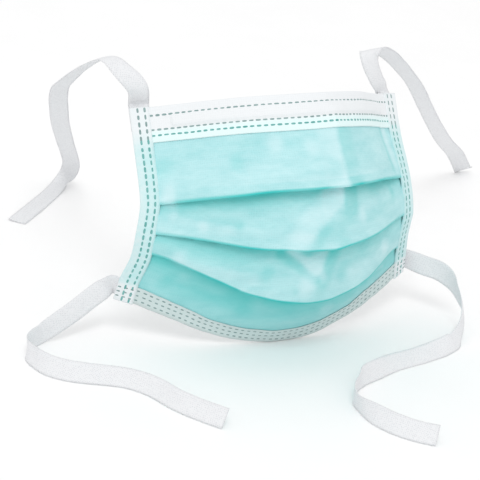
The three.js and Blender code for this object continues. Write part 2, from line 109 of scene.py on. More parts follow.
# Height of a tie's first four stations, in mm outwards: its end is welded on inside the mask.
WELDED_OUTS = (-1.55, -1.6, -2.0, -3.0)

# A tie tape: the step from section to section, its hollow and ripple, and its gap to the floor.
TIE_STEP = 1.1
TIE_CUP = 0.32
TIE_RIPPLE = 0.22
FLOOR_GAP = 0.05

# Rows of weld dashes: shares of the top hem's width, mm above the bottom edge, mm in from a side edge.
WHITE_ROWS = (0.26, 0.655)
TINTED_ROW = 0.815
LOW_ROWS = (7.7, 5.2, 2.7)
SIDE_ROWS = (4.3, 7.8)

# The side rows run between the mask's ends, with dashes of another colour below the top hem, in mm down.
SIDE_ROW_INSET = 1.6
WHITE_PART_END = 15.4
TEAL_PART_START = 17.2
WELD_PROUD = 0.01

# Where a binding looks tinted by the teal sheet, as mm down it and mm across its tape.
TINT_RISE = (10.0, 24.0)
TINT_FALL = (88.0, 92.0)
TINT_ACROSS = (5.4, 7.8)

# Painted shade below each fold edge, from the top fold down: a deeper teal that stands in for the shade the
# fold casts.
# reach: how far below the edge, in mm. gap: share lost where the main crease props the fold open.
# rest: how much painted shade the sheet keeps further down.
FOLD_TONES = (
    {"reach": 5.2, "gap": 0.7, "rest": 0.0},
    {"reach": 7.0, "gap": 0.0, "rest": 0.0},
    {"reach": 11.0, "gap": 0.0, "rest": 0.3},
)
MAIN_CREASE_ACROSS = 12

# Painted highlight just above a fold edge, and painted shade or painted highlight on the flanks of a crease.
LIP_PAINTED_HIGHLIGHT = 0.5
LIP_REACH = 4.5
FLANK_STEP = 1.5
FLANK_PAINTED_SHADE = 0.55
FLANK_PAINTED_HIGHLIGHT = 0.85
FLANK_LIMITS = (-0.42, 0.25)

# The photograph's camera: angles in degrees, the rest in metres and millimetres of lens.
CAMERA_AZIMUTH = -28.02
CAMERA_ELEVATION = 23.02
CAMERA_ROLL = 6.83
CAMERA_TARGET = (-0.0624, -0.02904, 0.04705)
CAMERA_DISTANCE = 1.0889
CAMERA_LENS = 167.9

# The studio: a wide floor, a high soft key light and a weaker one behind it, in metres and watts.
FLOOR_REACH = 6.0
WORLD_STRENGTH = 0.835
LIGHTS = (
    {"name": "key", "place": (-1.6, -2.9, 4.6), "target": (-0.05, -0.05, 0.02), "size": 2.2, "power": 74.0},
    {"name": "top", "place": (-0.5, 1.2, 4.8), "target": (-0.02, -0.02, 0.0), "size": 3.0, "power": 10.0},
)

# Routes of the ties, from the corner to the free end, as in the solids.
# out, back: shares of the tie's reach. up: share of the corner's height.
# heading, tilt: the direction across the tape, in degrees.
UPPER_LEFT_ROUTE = (
    (0.01, 0.0, 1.09, -10, 0),
    (0.053, 0.022, 1.162, 2, 2),
    (0.072, 0.05, 1.192, 10, 4),
    (0.079, 0.092, 1.18, 16, 4),
    (0.082, 0.165, 1.12, 20, 0),
    (0.078, 0.265, 1.028, 26, -6),
    (0.066, 0.375, 0.92, 28, -12),
    (0.046, 0.465, 0.835, 28, -16),
    (0.016, 0.545, 0.74, 24, -18),
    (-0.018, 0.615, 0.64, 14, -18),
    (-0.06, 0.695, 0.52, 0, -18),
    (-0.122, 0.795, 0.365, -14, -14),
    (-0.18, 0.885, 0.23, -26, -8),
    (-0.216, 0.945, 0.13, -42, 0),
    (-0.222, 0.982, 0.06, -54, 5),
    (-0.2, 0.982, 0.018, -62, 6),
    (-0.155, 0.93, 0.0, -60, 2),
    (-0.06, 0.825, 0.0, -54, -4),
    (0.052, 0.71, 0.0, -60, -4),
)
UPPER_RIGHT_ROUTE = (
    (-0.018, 0.014, 1.036, 30, 0),
    (-0.0355, 0.012, 1.085, 22, 2),
    (-0.049, 0.018, 1.143, 10, 6),
    (-0.047, 0.03, 1.178, -6, 12),
    (-0.014, 0.062, 1.172, -18, 16),
    (0.04, 0.104, 1.125, -28, 14),
    (0.098, 0.151, 1.052, -34, 8),
    (0.181, 0.218, 0.93, -38, 2),
    (0.251, 0.28, 0.818, -38, -2),
    (0.346, 0.37, 0.641, -38, -4),
    (0.435, 0.451, 0.475, -38, 2),
    (0.525, 0.532, 0.318, -36, 12),
    (0.632, 0.623, 0.154, -36, 24),
    (0.706, 0.68, 0.0, -38, 32),
)
LOWER_LEFT_ROUTE = (
    (0.05, 0.035, 0.9, 60, 72),
    (0.108, 0.03, 0.745, 62, 70),
    (0.172, 0.024, 0.56, 64, 70),
    (0.25, 0.018, 0.36, 66, 72),
    (0.33, 0.0, 0.2, 72, 76),
    (0.396, -0.05, 0.16, 110, 78),
    (0.44, -0.125, 0.08, 40, 82),
    (0.432, -0.205, 0.08, 10, 76),
    (0.402, -0.275, 0.08, 44, 66),
    (0.346, -0.33, 0.08, 62, 58),
    (0.276, -0.368, 0.08, 70, 52),
    (0.2, -0.4, 0.08, 68, 46),
    (0.12, -0.442, 0.08, 60, 44),
    (0.065, -0.5, 0.08, 44, 46),
    (0.025, -0.575, 0.08, 30, 50),
    (-0.01, -0.68, 0.08, 26, 54),
    (-0.07, -0.79, 0.08, 28, 56),
    (-0.14, -0.89, 0.08, 34, 58),
)
LOWER_RIGHT_ROUTE = (
    (0.063, -0.042, 0.965, 58, 66),
    (0.097, -0.082, 0.94, 60, 72),
    (0.117, -0.124, 0.86, 100, 80),
    (0.123, -0.172, 0.7, 150, 76),
    (0.118, -0.225, 0.53, 165, 74),
    (0.098, -0.268, 0.37, 140, 78),
    (0.063, -0.31, 0.24, 90, 74),
    (0.02, -0.342, 0.08, 84, 56),
    (-0.023, -0.358, 0.08, 82, 42),
    (-0.123, -0.385, 0.08, 80, 30),
    (-0.237, -0.413, 0.08, 76, 28),
    (-0.317, -0.453, 0.08, 66, 34),
    (-0.397, -0.5, 0.08, 58, 46),
    (-0.45, -0.552, 0.08, 48, 62),
    (-0.494, -0.612, 0.08, 100, 84),
    (-0.506, -0.673, 0.08, 170, 80),
    (-0.49, -0.738, 0.08, 60, 70),
    (-0.455, -0.805, 0.08, 52, 56),
    (-0.41, -0.86, 0.08, 52, 50),
    (-0.36, -0.905, 0.08, 48, 54),
)

# hand: -1 for the left side. reach: scale of the route in mm. length: of the flat tape, in metres.
TIES = {
    "upper_left": {"hand": -1, "upper": True, "reach": 170.0, "route": UPPER_LEFT_ROUTE, "length": 0.329},
    "upper_right": {"hand": 1, "upper": True, "reach": 210.0, "route": UPPER_RIGHT_ROUTE, "length": 0.277},
    "lower_left": {"hand": -1, "upper": False, "reach": 110.0, "route": LOWER_LEFT_ROUTE, "length": 0.180},
    "lower_right": {"hand": 1, "upper": False, "reach": 150.0, "route": LOWER_RIGHT_ROUTE, "length": 0.224},
}


def curve_weights(t):
    """Weights of a smooth curve's start, start tangent, end and end tangent, for t from 0 to 1."""
    return 2 * t**3 - 3 * t**2 + 1, t**3 - 2 * t**2 + t, -2 * t**3 + 3 * t**2, t**3 - t**2


class Bowl:
    """The bowed sheet that every layer of the mask follows, in millimetres."""

    def __init__(self, sizes):
        self.half = sizes.mask_width / MM / 2
        self.height = sizes.stand_height / MM
        self.depth = sizes.bowl_depth / MM
        self.tables = [self.line_table(line) for line in LINES]
        self.columns = {}
        self.stacks = {}

    def line_table(self, line):
        step = self.half / LINE_STEPS
        points = [Vector((0, 0, 0))]
        rise = (line["side"] - line["middle"]) * self.height
        x = y = 0.0
        for i in range(LINE_STEPS + 6):
            share = (i + 0.5) / LINE_STEPS
            angle = line["turn"] * share + line["flare"] * share**3
            slope = rise * (2 * share * (1 - line["flat"]) + 4 * line["flat"] * share**3) / self.half
            level = math.sqrt(max(0.3, 1 - slope * slope))
            x += step * math.cos(angle) * level
            y += step * math.sin(angle) * level
            after = (i + 1) / LINE_STEPS
            points.append(Vector((x, y, rise * (after**2 * (1 - line["flat"]) + line["flat"] * after**4))))
        return points

    def line_point(self, index, across):
        line = LINES[index]
        table = self.tables[index]
        place = abs(across) / self.half * LINE_STEPS
        low = min(int(place), len(table) - 2)
        point = table[low].lerp(table[low + 1], place - low)
        if across < 0:
            point.x = -point.x
        point.y -= line["front"] * self.depth
        point.z += line["middle"] * self.height
        return point

    def knots(self, across):
        points = [self.line_point(i, across) for i in range(len(LINES))]
        tangents = []
        for i in range(len(points)):
            before = max(i - 1, 0)
            after = min(i + 1, len(points) - 1)
            span = LINES[after]["down"] - LINES[before]["down"]
            tangents.append((points[after] - points[before]) * (ROUNDNESS / span))
        return points, tangents

    def column(self, across):
        key = round(across, 4)
        if key not in self.columns:
            self.columns[key] = Column(self, across)
        return self.columns[key]


def knot_point(knots, down):
    """Place on the smooth curve through a column's line points."""
    points, tangents = knots
    low = 0
    while low < len(LINES) - 2 and down > LINES[low + 1]["down"]:
        low += 1
    span = LINES[low + 1]["down"] - LINES[low]["down"]
    a, b, c, d = curve_weights((down - LINES[low]["down"]) / span)
    return points[low] * a + tangents[low] * (b * span) + points[low + 1] * c + tangents[low + 1] * (d * span)


class Column:
    """One line down the sheet, with places along it measured from the top edge."""

    def __init__(self, bowl, across):
        self.middle = bowl.knots(across)
        self.left = bowl.knots(across - 0.5)
        self.right = bowl.knots(across + 0.5)
        self.lengths = [0.0]
        last = knot_point(self.middle, 0)
        for i in range(1, COLUMN_STEPS + 1):
            point = knot_point(self.middle, i / COLUMN_STEPS)
            self.lengths.append(self.lengths[-1] + (point - last).length)
            last = point
        self.total = self.lengths[-1]

    def length_at(self, down):
        place = down * COLUMN_STEPS
        low = min(int(place), COLUMN_STEPS - 1)
        return self.lengths[low] + (place - low) * (self.lengths[low + 1] - self.lengths[low])

    def down_at(self, length):
        low, high = 0, COLUMN_STEPS
        while high - low > 1:
            half = (low + high) // 2
            if length > self.lengths[half]:
                low = half
            else:
                high = half
        part = (length - self.lengths[low]) / (self.lengths[low + 1] - self.lengths[low])
        return (low + part) / COLUMN_STEPS

    def frame_at(self, length):
        down = self.down_at(length)
        point = knot_point(self.middle, down)
        along = (knot_point(self.middle, down + 0.004) - knot_point(self.middle, down - 0.004)).normalized()
        side = (knot_point(self.right, down) - knot_point(self.left, down)).normalized()
        normal = along.cross(side).normalized()
        return point, along, side, normal

    def place(self, length, outward):
        point, along, side, normal = self.frame_at(length)
        return point + normal * outward


# Soft creases of the handled sheet, in mm across and down. A ridge stands out, a dent has a negative height.
# reach: how far its flanks run to each side. sharp: 1 for a folded edge, 0 for a soft swelling.
CREASE_COLUMNS = ("from_across", "from_down", "to_across", "to_down", "reach", "height", "sharp")
CREASES = [
    dict(zip(CREASE_COLUMNS, row))
    for row in (
        (12.5, 12.0, 13.5, 54.0, 12.0, 1.32, 0.9),
        (12.0, 53.0, -3.0, 68.0, 12.0, 1.68, 0.7),
        (9.0, 76.0, 3.0, 94.0, 9.0, 1.2, 0.6),
        (-14.0, 78.0, 4.0, 91.0, 5.0, -0.96, 0.4),
        (-68.0, 44.0, 2.0, 38.0, 9.0, 1.32, 0.0),
        (-78.0, 31.0, -24.0, 24.0, 8.0, -1.08, 0.0),
        (-34.0, 31.0, -6.0, 27.0, 7.0, -0.84, 0.0),
        (68.0, 20.0, 72.0, 36.0, 6.0, -0.72, 0.2),
        (-68.0, 54.0, -40.0, 61.0, 4.0, 0.48, 0.4),
        (-52.0, 60.0, -2.0, 66.0, 5.0, 0.6, 0.2),
        (30.0, 60.0, 60.0, 52.0, 6.0, 0.72, 0.1),
        (-60.0, 76.0, -26.0, 87.0, 7.0, 0.84, 0.1),
        (-30.0, 95.0, -8.0, 98.0, 3.0, 0.3, 0.5),
        (24.0, 90.0, 54.0, 80.0, 8.0, -0.96, 0.1),
        (44.0, 104.0, 66.0, 94.0, 2.2, 0.3, 0.8),
        (-62.0, 92.0, -28.0, 107.0, 8.0, -0.6, 0.0),
        (-20.0, 112.0, 16.0, 118.0, 9.0, -0.72, 0.0),
    )
]


def smooth(share):
    share = min(1.0, max(0.0, share))
    return share * share * (3 - 2 * share)


def side_fade(sizes, across):
    """1 over the open sheet, falling to 0 where a binding holds it flat."""
    return smooth((sizes.mask_width / MM / 2 - 5 - abs(across)) / 14)


def creases(sizes, across, down):
    """Height of the drawn creases at a place, in mm outwards."""
    return side_fade(sizes, across) * sum(crease_height(line, across, down) for line in CREASES)


def dent(across, down, wide, high, layer, shift=0):
    """Soft noise over the sheet, from -1 to 1, with dents of a given size in mm."""
    return noise.noise(Vector((across / wide + shift, down / high, layer)))


def crumple(sizes, across, down):
    """Soft dents of handled cloth, in mm outwards, the same for every layer at one place."""
    soft = dent(across, down, 26, 17, 3.7)
    fine = dent(across, down, 9, 5.5, 8.1, 11)
    radiating = dent(across, down, 30, 2.6, 1.3, 5)
    half = sizes.mask_width / MM / 2
    edge = side_fade(sizes, across)
    # the radiating creases start at the bindings and fade out towards the middle
    side = smooth((abs(across) - half * 0.35) / (half * 0.4)) * edge
    dents = sizes.crumple / MM * (0.9 * soft * edge + 0.32 * fine * edge + 0.2 * radiating * side)
    return dents + creases(sizes, across, down)


def crease_height(line, across, down):
    """Height of one crease at a place: a tent or a swelling that fades out towards its ends."""
    run_across = line["to_across"] - line["from_across"]
    run_down = line["to_down"] - line["from_down"]
    length = math.hypot(run_across, run_down)
    ahead = ((across - line["from_across"]) * run_across + (down - line["from_down"]) * run_down) / length
    aside = abs((across - line["from_across"]) * run_down - (down - line["from_down"]) * run_across) / length
    past = max(0.0, -ahead, ahead - length)
    share = 1 - math.hypot(aside, past * 0.8) / line["reach"]
    if share <= 0:
        return 0.0
    return line["height"] * (line["sharp"] * share * share**0.4 + (1 - line["sharp"]) * smooth(share))


def thicken(points, thickness):
    """Both sides of a thin open section, at half the cloth's thickness from its centre line."""
    front = []
    back = []
    for i, here in enumerate(points):
        before = points[max(i - 1, 0)]
        after = points[min(i + 1, len(points) - 1)]
        first = Vector((here[0] - before[0], here[1] - before[1]))
        second = Vector((after[0] - here[0], after[1] - here[1]))
        if i == 0:
            first = second.copy()
        if i == len(points) - 1:
            second = first.copy()
        first.normalize()
        second.normalize()
        middle = (first + second).normalized()
        reach = thickness / 2 / max(0.6, middle.dot(first))
        front.append((here[0] - middle.y * reach, here[1] + middle.x * reach))
        back.append((here[0] + middle.y * reach, here[1] - middle.x * reach))
    return front, back


def running_length(points):
    """Length along a section up to each of its points."""
    lengths = [0.0]
    for a, b in zip(points, points[1:]):
        lengths.append(lengths[-1] + math.hypot(b[0] - a[0], b[1] - a[1]))
    return lengths


def cloth_mesh(name, sections, material):
    """Closed cloth from a row of sections. Each section holds front points, back points and cloth places."""
    rows = len(sections[0]["front"])
    ring = 2 * rows
    verts = []
    places = []
    painted_shading = []
    inner = []
    for section in sections:
        verts.extend(section["front"])
        verts.extend(reversed(section["back"]))
        places.extend(section["cloth"])
        places.extend(reversed(section["cloth"]))
        # painted shade and painted highlight at each point, where a section carries them
        shade = section.get("painted_shading", [0.0] * rows)
        painted_shading.extend(shade)
        painted_shading.extend(reversed(shade))
        inner.extend([0.0] * rows + [1.0] * rows)
    faces = []
    for c in range(len(sections) - 1):
        for i in range(ring):
            after = (i + 1) % ring
            faces.append((c * ring + i, c * ring + after, (c + 1) * ring + after, (c + 1) * ring + i))
    last = (len(sections) - 1) * ring
    for i in range(rows - 1):
        j = ring - 1 - i
        faces.append((i, j, j - 1, i + 1))
        faces.append((last + i, last + i + 1, last + j - 1, last + j))
    mesh = bpy.data.meshes.new(name)
    mesh.from_pydata([v * MM for v in verts], [], faces)
    cloth_map = mesh.uv_layers.new(name="cloth")
    for loop in mesh.loops:
        across, down = places[loop.vertex_index]
        cloth_map.data[loop.index].uv = (across * MM, down * MM)
    mesh.attributes.new("painted_shading", "FLOAT", "POINT").data.foreach_set("value", painted_shading)
    mesh.attributes.new("inner", "FLOAT", "POINT").data.foreach_set("value", inner)
    if signed_volume(mesh) < 0:
        mesh.flip_normals()
    mesh.polygons.foreach_set("use_smooth", [True] * len(mesh.polygons))
    mesh.materials.append(material)
    mesh.update()
    piece = bpy.data.objects.new(name, mesh)
    bpy.context.scene.collection.objects.link(piece)
    return piece


def signed_volume(mesh):
    """Volume inside a closed mesh, negative when its faces point inwards."""
    total = 0.0
    verts = mesh.vertices
    for face in mesh.polygons:
        a = verts[face.vertices[0]].co
        for i in range(1, len(face.vertices) - 1):
            total += a.dot(verts[face.vertices[i]].co.cross(verts[face.vertices[i + 1]].co))
    return total / 6


def spread(low, high, count):
    """Even places from low to high, both of them included."""
    return [low + (high - low) * i / count for i in range(count + 1)]


def openness(sizes, across):
    """How far the folds stand open: 1 in the middle, 0 at the bindings."""
    share = abs(across) / (sizes.mask_width / MM / 2 - sizes.binding_width / MM)
    return max(0.0, 1 - share * share)


def fold_shift(pleat, place):
    """How far a fold edge lies below its line, from left (-1) to right (1)."""
    tilt = (pleat["right"] - pleat["left"]) / 2
    bend = (pleat["right"] + pleat["left"]) / 2 - pleat["centre"]
    return pleat["centre"] + tilt * place + bend * place * place


def sheet_line(sizes, here, across):
    """Section of the pleated sheet as mm down and mm outwards, and the places of its folds."""
    top_hem = sizes.top_hem / MM
    bottom_hem = sizes.bottom_hem / MM
    place = across / (sizes.mask_width / MM / 2)
    share = min(1.0, abs(place))
    lift = sizes.fold_lift / MM * openness(sizes, across)
    raised = lift * 0.55
    recess = sizes.fold_recess / MM * openness(sizes, across)
    radius = PLEAT_LAYER / 2
    start = top_hem + 1.5
    level = 0.0
    points = [(down, 0.0) for down in spread(SHEET_INSET, top_hem, 7)]
    points.append((start, 0.0))
    folds = []
    for pleat in PLEATS:
        edge = here.length_at(LINES[pleat["line"]]["down"]) + fold_shift(pleat, place)
        edge += 0.5 * noise.noise(Vector((across / 21, pleat["line"] * 7.0, 0.5))) * openness(sizes, across)
        edge = min(edge, here.total - bottom_hem - 3.0)
        depth = pleat["middle"] + (pleat["side"] - pleat["middle"]) * share**2
        top = edge - depth
        # the outer layer, down to the lip of the fold
        for part in spread(0, 1, 14)[1:]:
            ease = 0.6 * smooth(part) + 0.4 * part**1.3
            points.append((start + (top - start) * part, level + (PLEAT_LAYER + raised - level) * ease))
        lip = len(points)
        for part in spread(0, 1, 5)[1:]:
            points.append((top + (edge - radius - top) * part, PLEAT_LAYER + raised + (lift - raised) * part))
        bend = len(points) - 1
        for angle in (50, 90, 130):
            turn = math.radians(angle)
            points.append((edge - radius + radius * math.sin(turn), lift + radius + radius * math.cos(turn)))
        # the hidden layer, back up to the top of the pleat
        for part in spread(0, 1, 4)[:-1]:
            points.append((edge - radius - (depth - 2 * radius) * part, lift + (raised - lift) * part))
        for angle in (0, 50, 90, 130):
            turn = math.radians(angle)
            points.append((top + radius - radius * math.sin(turn), raised - radius + radius * math.cos(turn)))
        # the layer behind, down to where it comes out below the edge
        for part in spread(0, 1, 5):
            out = raised - PLEAT_LAYER - (raised + recess) * smooth(part)
            points.append((top + radius + (edge - top - radius) * part, out))
        start = edge + 0.01
        level = -PLEAT_LAYER - recess
        folds.append({"edge": edge, "lip": lip, "bend": bend, "end": len(points)})
    hem = here.total - bottom_hem - 1.5
    for part in spread(0, 1, 10)[1:]:
        points.append((start + (hem - start) * part, level * (1 - smooth(part))))
    points.extend((down, 0.0) for down in spread(here.total - bottom_hem, here.total - SHEET_INSET, 4))
    return points, folds


def painted_fold_shade(across, order, past):
    """Painted shade below a fold edge: how far the teal is darkened where the fold shades the sheet."""
    tone = FOLD_TONES[order]
    # full in the middle and weaker towards the bindings
    inner = 1 - smooth((abs(across) - 40) / 44) * 0.45
    gap = 1 - tone["gap"] * math.exp(-(((across - MAIN_CREASE_ACROSS) / 6) ** 2))
    reach = tone["reach"] * (0.5 + 0.5 * inner)
    rest = tone["rest"] * (1 - 0.45 * smooth((across - 10) / 50))
    patchy = 0.85 + 0.3 * noise.noise(Vector((across / 19, order * 5.0, past / 9)))
    return min(1.0, (inner * gap * math.exp(-((past / reach) ** 1.4)) + rest) * patchy)


def sheet_tones(sizes, across, points, folds):
    """Painted light on the sheet at each point: painted shade, as deeper teal, above 0, and a painted
    highlight, as paler teal, below 0.
    """
    tones = [0.0] * len(points)
    for order, fold in enumerate(folds):
        for i in range(fold["bend"], len(points)):
            past = abs(points[i][0] - fold["edge"]) if i >= fold["end"] else 0.0
            tones[i] = max(tones[i], painted_fold_shade(across, order, past))
        # a painted highlight on the lip just above each fold edge
        for i in range(fold["lip"]):
            above = abs(points[i][0] - fold["edge"])
            pale = LIP_PAINTED_HIGHLIGHT * math.exp(-above / LIP_REACH) * openness(sizes, across)
            tones[i] = min(tones[i], -pale) if tones[i] <= 0 else tones[i] * (1 - pale)
    for i, (down, out) in enumerate(points):
        # a crease gets painted shade on the flank turned away from the key light and a painted highlight on
        # the other
        turned = creases(sizes, across - FLANK_STEP, down) - creases(sizes, across + FLANK_STEP, down)
        flank = turned * (FLANK_PAINTED_SHADE if turned > 0 else FLANK_PAINTED_HIGHLIGHT)
        flank = max(FLANK_LIMITS[0], min(FLANK_LIMITS[1], flank))
        tones[i] = max(-1.0, min(1.0, tones[i] + flank))
    return tones


def layer_section(sizes, bowl, across, points, thickness):
    """Section of one layer of cloth down a column, from its points as mm down and mm outwards."""
    here = bowl.column(across)
    front, back = thicken(points, thickness)
    cloth = [(across, length) for length in running_length(points)]
    dents = [crumple(sizes, across, point[0]) for point in points]
    return {
        "front": [here.place(p[0], p[1] + dent) + BODY_SHIFT for p, dent in zip(front, dents)],
        "back": [here.place(p[0], p[1] + dent) + BODY_SHIFT for p, dent in zip(back, dents)],
        "cloth": cloth,
    }


def sheet_section(sizes, bowl, across):
    points, folds = sheet_line(sizes, bowl.column(across), across)
    section = layer_section(sizes, bowl, across, points, SHEET)
    section["painted_shading"] = sheet_tones(sizes, across, points, folds)
    return section


def wire_ridge(across):
    """Height by which the wire raises the top hem, falling off just past its ends."""
    past = (abs(across) - WIRE_LENGTH / 2) / 1.4 - 0.4
    return WIRE_RAISE * smooth(1 - past)


def top_hem_out(sizes, across, down):
    """Height of the top hem's outer layer, with the ridge that the wire raises."""
    middle = WIRE_DOWN + WIRE_WIDTH / 2
    flank = smooth((WIRE_WIDTH / 2 + 1.7 - abs(down - middle)) / 1.7)
    return HEM_OUT + wire_ridge(across) * flank


def top_hem_line(sizes, across):
    """Section of the top hem: down the outside, over the edge and down the inside."""
    top_hem = sizes.top_hem / MM
    points = [(down, top_hem_out(sizes, across, down)) for down in spread(top_hem, 1.2, 26)]
    for angle in (30, 60, 90, 120, 150):
        turn = math.radians(angle)
        points.append((1.2 - 0.85 * math.sin(turn), HEM_OUT * math.cos(turn)))
    points.extend((down, -HEM_OUT) for down in spread(1.2, 12.0, 8))
    return points


def bottom_hem_line(sizes, total):
    """Section of the bottom hem: down the outside, under the edge and up the inside."""
    bottom_hem = sizes.bottom_hem / MM
    points = [(total - up, HEM_OUT) for up in spread(bottom_hem, 1.2, 10)]
    for angle in (30, 60, 90, 120, 150):
        turn = math.radians(angle)
        points.append((total - 1.2 + 0.85 * math.sin(turn), HEM_OUT * math.cos(turn)))
    points.extend((total - up, -HEM_OUT) for up in spread(1.2, 8.0, 6))
    return points


def stack_outs(sizes, bowl, hand):
    """How far out and in the layers reach under a side binding, from the top edge down, smoothed."""
    if hand in bowl.stacks:
        return bowl.stacks[hand]
    half = sizes.mask_width / MM / 2
    outer = [HEM_OUT - 0.1] * (STACK_STEPS + 1)
    inner = [-HEM_OUT + 0.1] * (STACK_STEPS + 1)
    for inward in (1.6, 4.5, 7.5, sizes.binding_width / MM + 0.4):
        across = hand * (half - inward)
        here = bowl.column(across)
        points, folds = sheet_line(sizes, here, across)
        for (down, out), (next_down, next_out) in zip(points, points[1:]):
            for part in (0.0, 0.5):
                share = (down + (next_down - down) * part) / here.total
                level = out + (next_out - out) * part
                slot = round(share * STACK_STEPS)
                for i in range(max(0, slot - 3), min(STACK_STEPS, slot + 3) + 1):
                    outer[i] = max(outer[i], level)
                    inner[i] = min(inner[i], level)
        top = round((sizes.top_hem / MM + 1.0) / here.total * STACK_STEPS)
        low = round((1 - (sizes.bottom_hem / MM + 1.0) / here.total) * STACK_STEPS)
        for i in list(range(top + 1)) + list(range(low, STACK_STEPS + 1)):
            outer[i] = max(outer[i], HEM_OUT + 0.12)
            inner[i] = min(inner[i], -HEM_OUT - 0.12)
    for values, pick in ((outer, max), (inner, min)):
        wide = [pick(values[max(0, i - 2) : i + 3]) for i in range(len(values))]
        for i in range(len(values)):
            near = wide[max(0, i - 2) : i + 3]
            values[i] = sum(near) / len(near)
    bowl.stacks[hand] = (outer, inner)
    return bowl.stacks[hand]


def stack_out(sizes, bowl, hand, share, side=1):
    """Middle of the binding's cloth, in mm outwards, on its outer (1) or inner (-1) side."""
    values = stack_outs(sizes, bowl, hand)[0 if side > 0 else 1]
    place = min(1.0, max(0.0, share)) * STACK_STEPS
    low = min(int(place), STACK_STEPS - 1)
    level = values[low] + (values[low + 1] - values[low]) * (place - low)
    return level + side * (SHEET / 2 + TAPE_CLOTH / 2 + 0.12)


def binding_points(sizes, bowl, hand, share):
    """Section of a side binding as mm in from the edge and mm outwards: outside, round the edge, inside."""
    width = sizes.binding_width / MM - BINDING_OUTSET
    outer = stack_out(sizes, bowl, hand, share)
    inner = stack_out(sizes, bowl, hand, share, -1)
    middle = (outer + inner) / 2
    bow = (outer - inner) / 2
    points = [(width + 0.5, outer - 0.9)]
    points.extend((inward, outer) for inward in spread(width, 0.9, 10))
    for angle in (15, 30, 50, 70, 90, 110, 130, 150, 165):
        turn = math.radians(angle)
        points.append((0.9 - (0.9 + BINDING_OUTSET) * math.sin(turn) ** 0.8, middle + bow * math.cos(turn)))
    points.extend((inward, inner) for inward in spread(0.9, width, 6))
    return points


def binding_section(sizes, bowl, hand, share):
    half = sizes.mask_width / MM / 2
    middle = bowl.column(hand * (half - sizes.binding_width / MM / 2))
    points = binding_points(sizes, bowl, hand, share)
    front, back = thicken(points, TAPE_CLOTH)
    run = running_length(points)

    def lay(point):
        across = hand * (half - point[0])
        here = bowl.column(round(across, 1))
        down = here.total * share
        return here.place(down, point[1] + crumple(sizes, across, down)) + BODY_SHIFT

    return {
        "front": [lay(p) for p in front],
        "back": [lay(p) for p in back],
        "cloth": [(length, middle.total * share) for length in run],
    }


def curve_point(points, place, by_distance):
    """Smooth curve through points. by_distance: its tangents allow for their uneven distances."""
    last = len(points) - 1
    low = min(int(place), last - 1)
    p1 = points[low]
    p2 = points[low + 1]
    p0 = points[low - 1] if low > 0 else p1 * 2 - p2
    p3 = points[low + 2] if low + 2 <= last else p2 * 2 - p1
    if not by_distance:
        m1 = (p2 - p0) * 0.4
        m2 = (p3 - p1) * 0.4
    else:
        d0 = max(1e-4, (p1 - p0).length) ** 0.5
        d1 = max(1e-4, (p2 - p1).length) ** 0.5
        d2 = max(1e-4, (p3 - p2).length) ** 0.5
        m1 = ((p1 - p0) / d0 - (p2 - p0) / (d0 + d1) + (p2 - p1) / d1) * d1
        m2 = ((p2 - p1) / d1 - (p3 - p1) / (d1 + d2) + (p3 - p2) / d2) * d1
    a, b, c, d = curve_weights(place - low)
    return p1 * a + m1 * b + p2 * c + m2 * d


def direction(heading, tilt):
    """Unit vector from a heading in plan and a tilt above it, in degrees."""
    h = math.radians(heading)
    t = math.radians(tilt)
    return Vector((math.cos(h) * math.cos(t), math.sin(h) * math.cos(t), math.sin(t)))


def tie_stations(sizes, bowl, tie):
    """Places along a tie's middle line with the direction across it, first where it is welded on."""
    half = sizes.mask_width / MM / 2
    width = sizes.tie_width / MM
    overlap = sizes.tie_overlap / MM
    hand = tie["hand"]
    stations = []
    if tie["upper"]:
        here = bowl.column(hand * (half - width / 2))
        for down, out in zip((overlap, overlap / 2, 0.5, -2.0), WELDED_OUTS):
            point, along, side, normal = here.frame_at(down)
            stations.append((point + normal * out, side))
        corner = here.place(0, 0)
    else:
        inside = half - overlap
        for place, out in zip((inside, (inside + half) / 2, half - 0.5, half + 2), WELDED_OUTS):
            here = bowl.column(hand * place)
            point, along, side, normal = here.frame_at(here.total - width / 2 - 0.5)
            stations.append((point + normal * out, -along))
        rim = bowl.column(hand * half)
        corner = rim.place(rim.total - width / 2 - 0.5, 0)
    for out, back, up, heading, tilt in tie["route"]:
        point = Vector((corner.x + hand * out * tie["reach"], corner.y + back * tie["reach"], corner.z * up))
        stations.append((point, direction(heading, tilt)))
    return stations


def tie_sections(sizes, bowl, tie):
    """Sections across a tie tape along its route, none of them below the floor."""
    stations = tie_stations(sizes, bowl, tie)
    points = [s[0] for s in stations]
    wides = [s[1] for s in stations]
    width = sizes.tie_width / MM
    sections = []
    run = 0.0
    before = None
    seed = tie["reach"] + (30 if tie["upper"] else 0)
    for i in range(len(stations) - 1):
        pieces = max(1, round((points[i + 1] - points[i]).length / TIE_STEP))
        for j in range(pieces + (1 if i == len(stations) - 2 else 0)):
            place = i + j / pieces
            point = curve_point(points, place, True)
            ahead = curve_point(points, min(place + 0.02, len(points) - 1.0), True)
            behind = curve_point(points, max(place - 0.02, 0.0), True)
            tangent = (ahead - behind).normalized()
            wide = curve_point(wides, place, False)
            wide = (wide - tangent * wide.dot(tangent)).normalized()
            flat = tangent.cross(wide).normalized()
            low = width / 2 * abs(wide.z) + TIE_CLOTH / 2 * abs(flat.z) + FLOOR_GAP
            point.z = max(point.z, low)
            if before is not None:
                run += (point - before).length
            before = point.copy()
            front = []
            back = []
            cloth = []
            free = smooth((run - 14) / 20)
            for share in spread(-1, 1, 8):
                cup = TIE_CUP * (share * share - 0.4) * free
                ripple = TIE_RIPPLE * noise.noise(Vector((share * 1.1, run / 13, seed))) * free
                middle = point + wide * (share * width / 2) + flat * (cup + ripple)
                middle.z = max(middle.z, TIE_CLOTH / 2 + FLOOR_GAP)
                front.append(middle + flat * (TIE_CLOTH / 2) + TIE_SHIFT)
                back.append(middle - flat * (TIE_CLOTH / 2) + TIE_SHIFT)
                cloth.append((share * width / 2, run))
            sections.append({"front": front, "back": back, "cloth": cloth})
    return sections


# Colours and materials


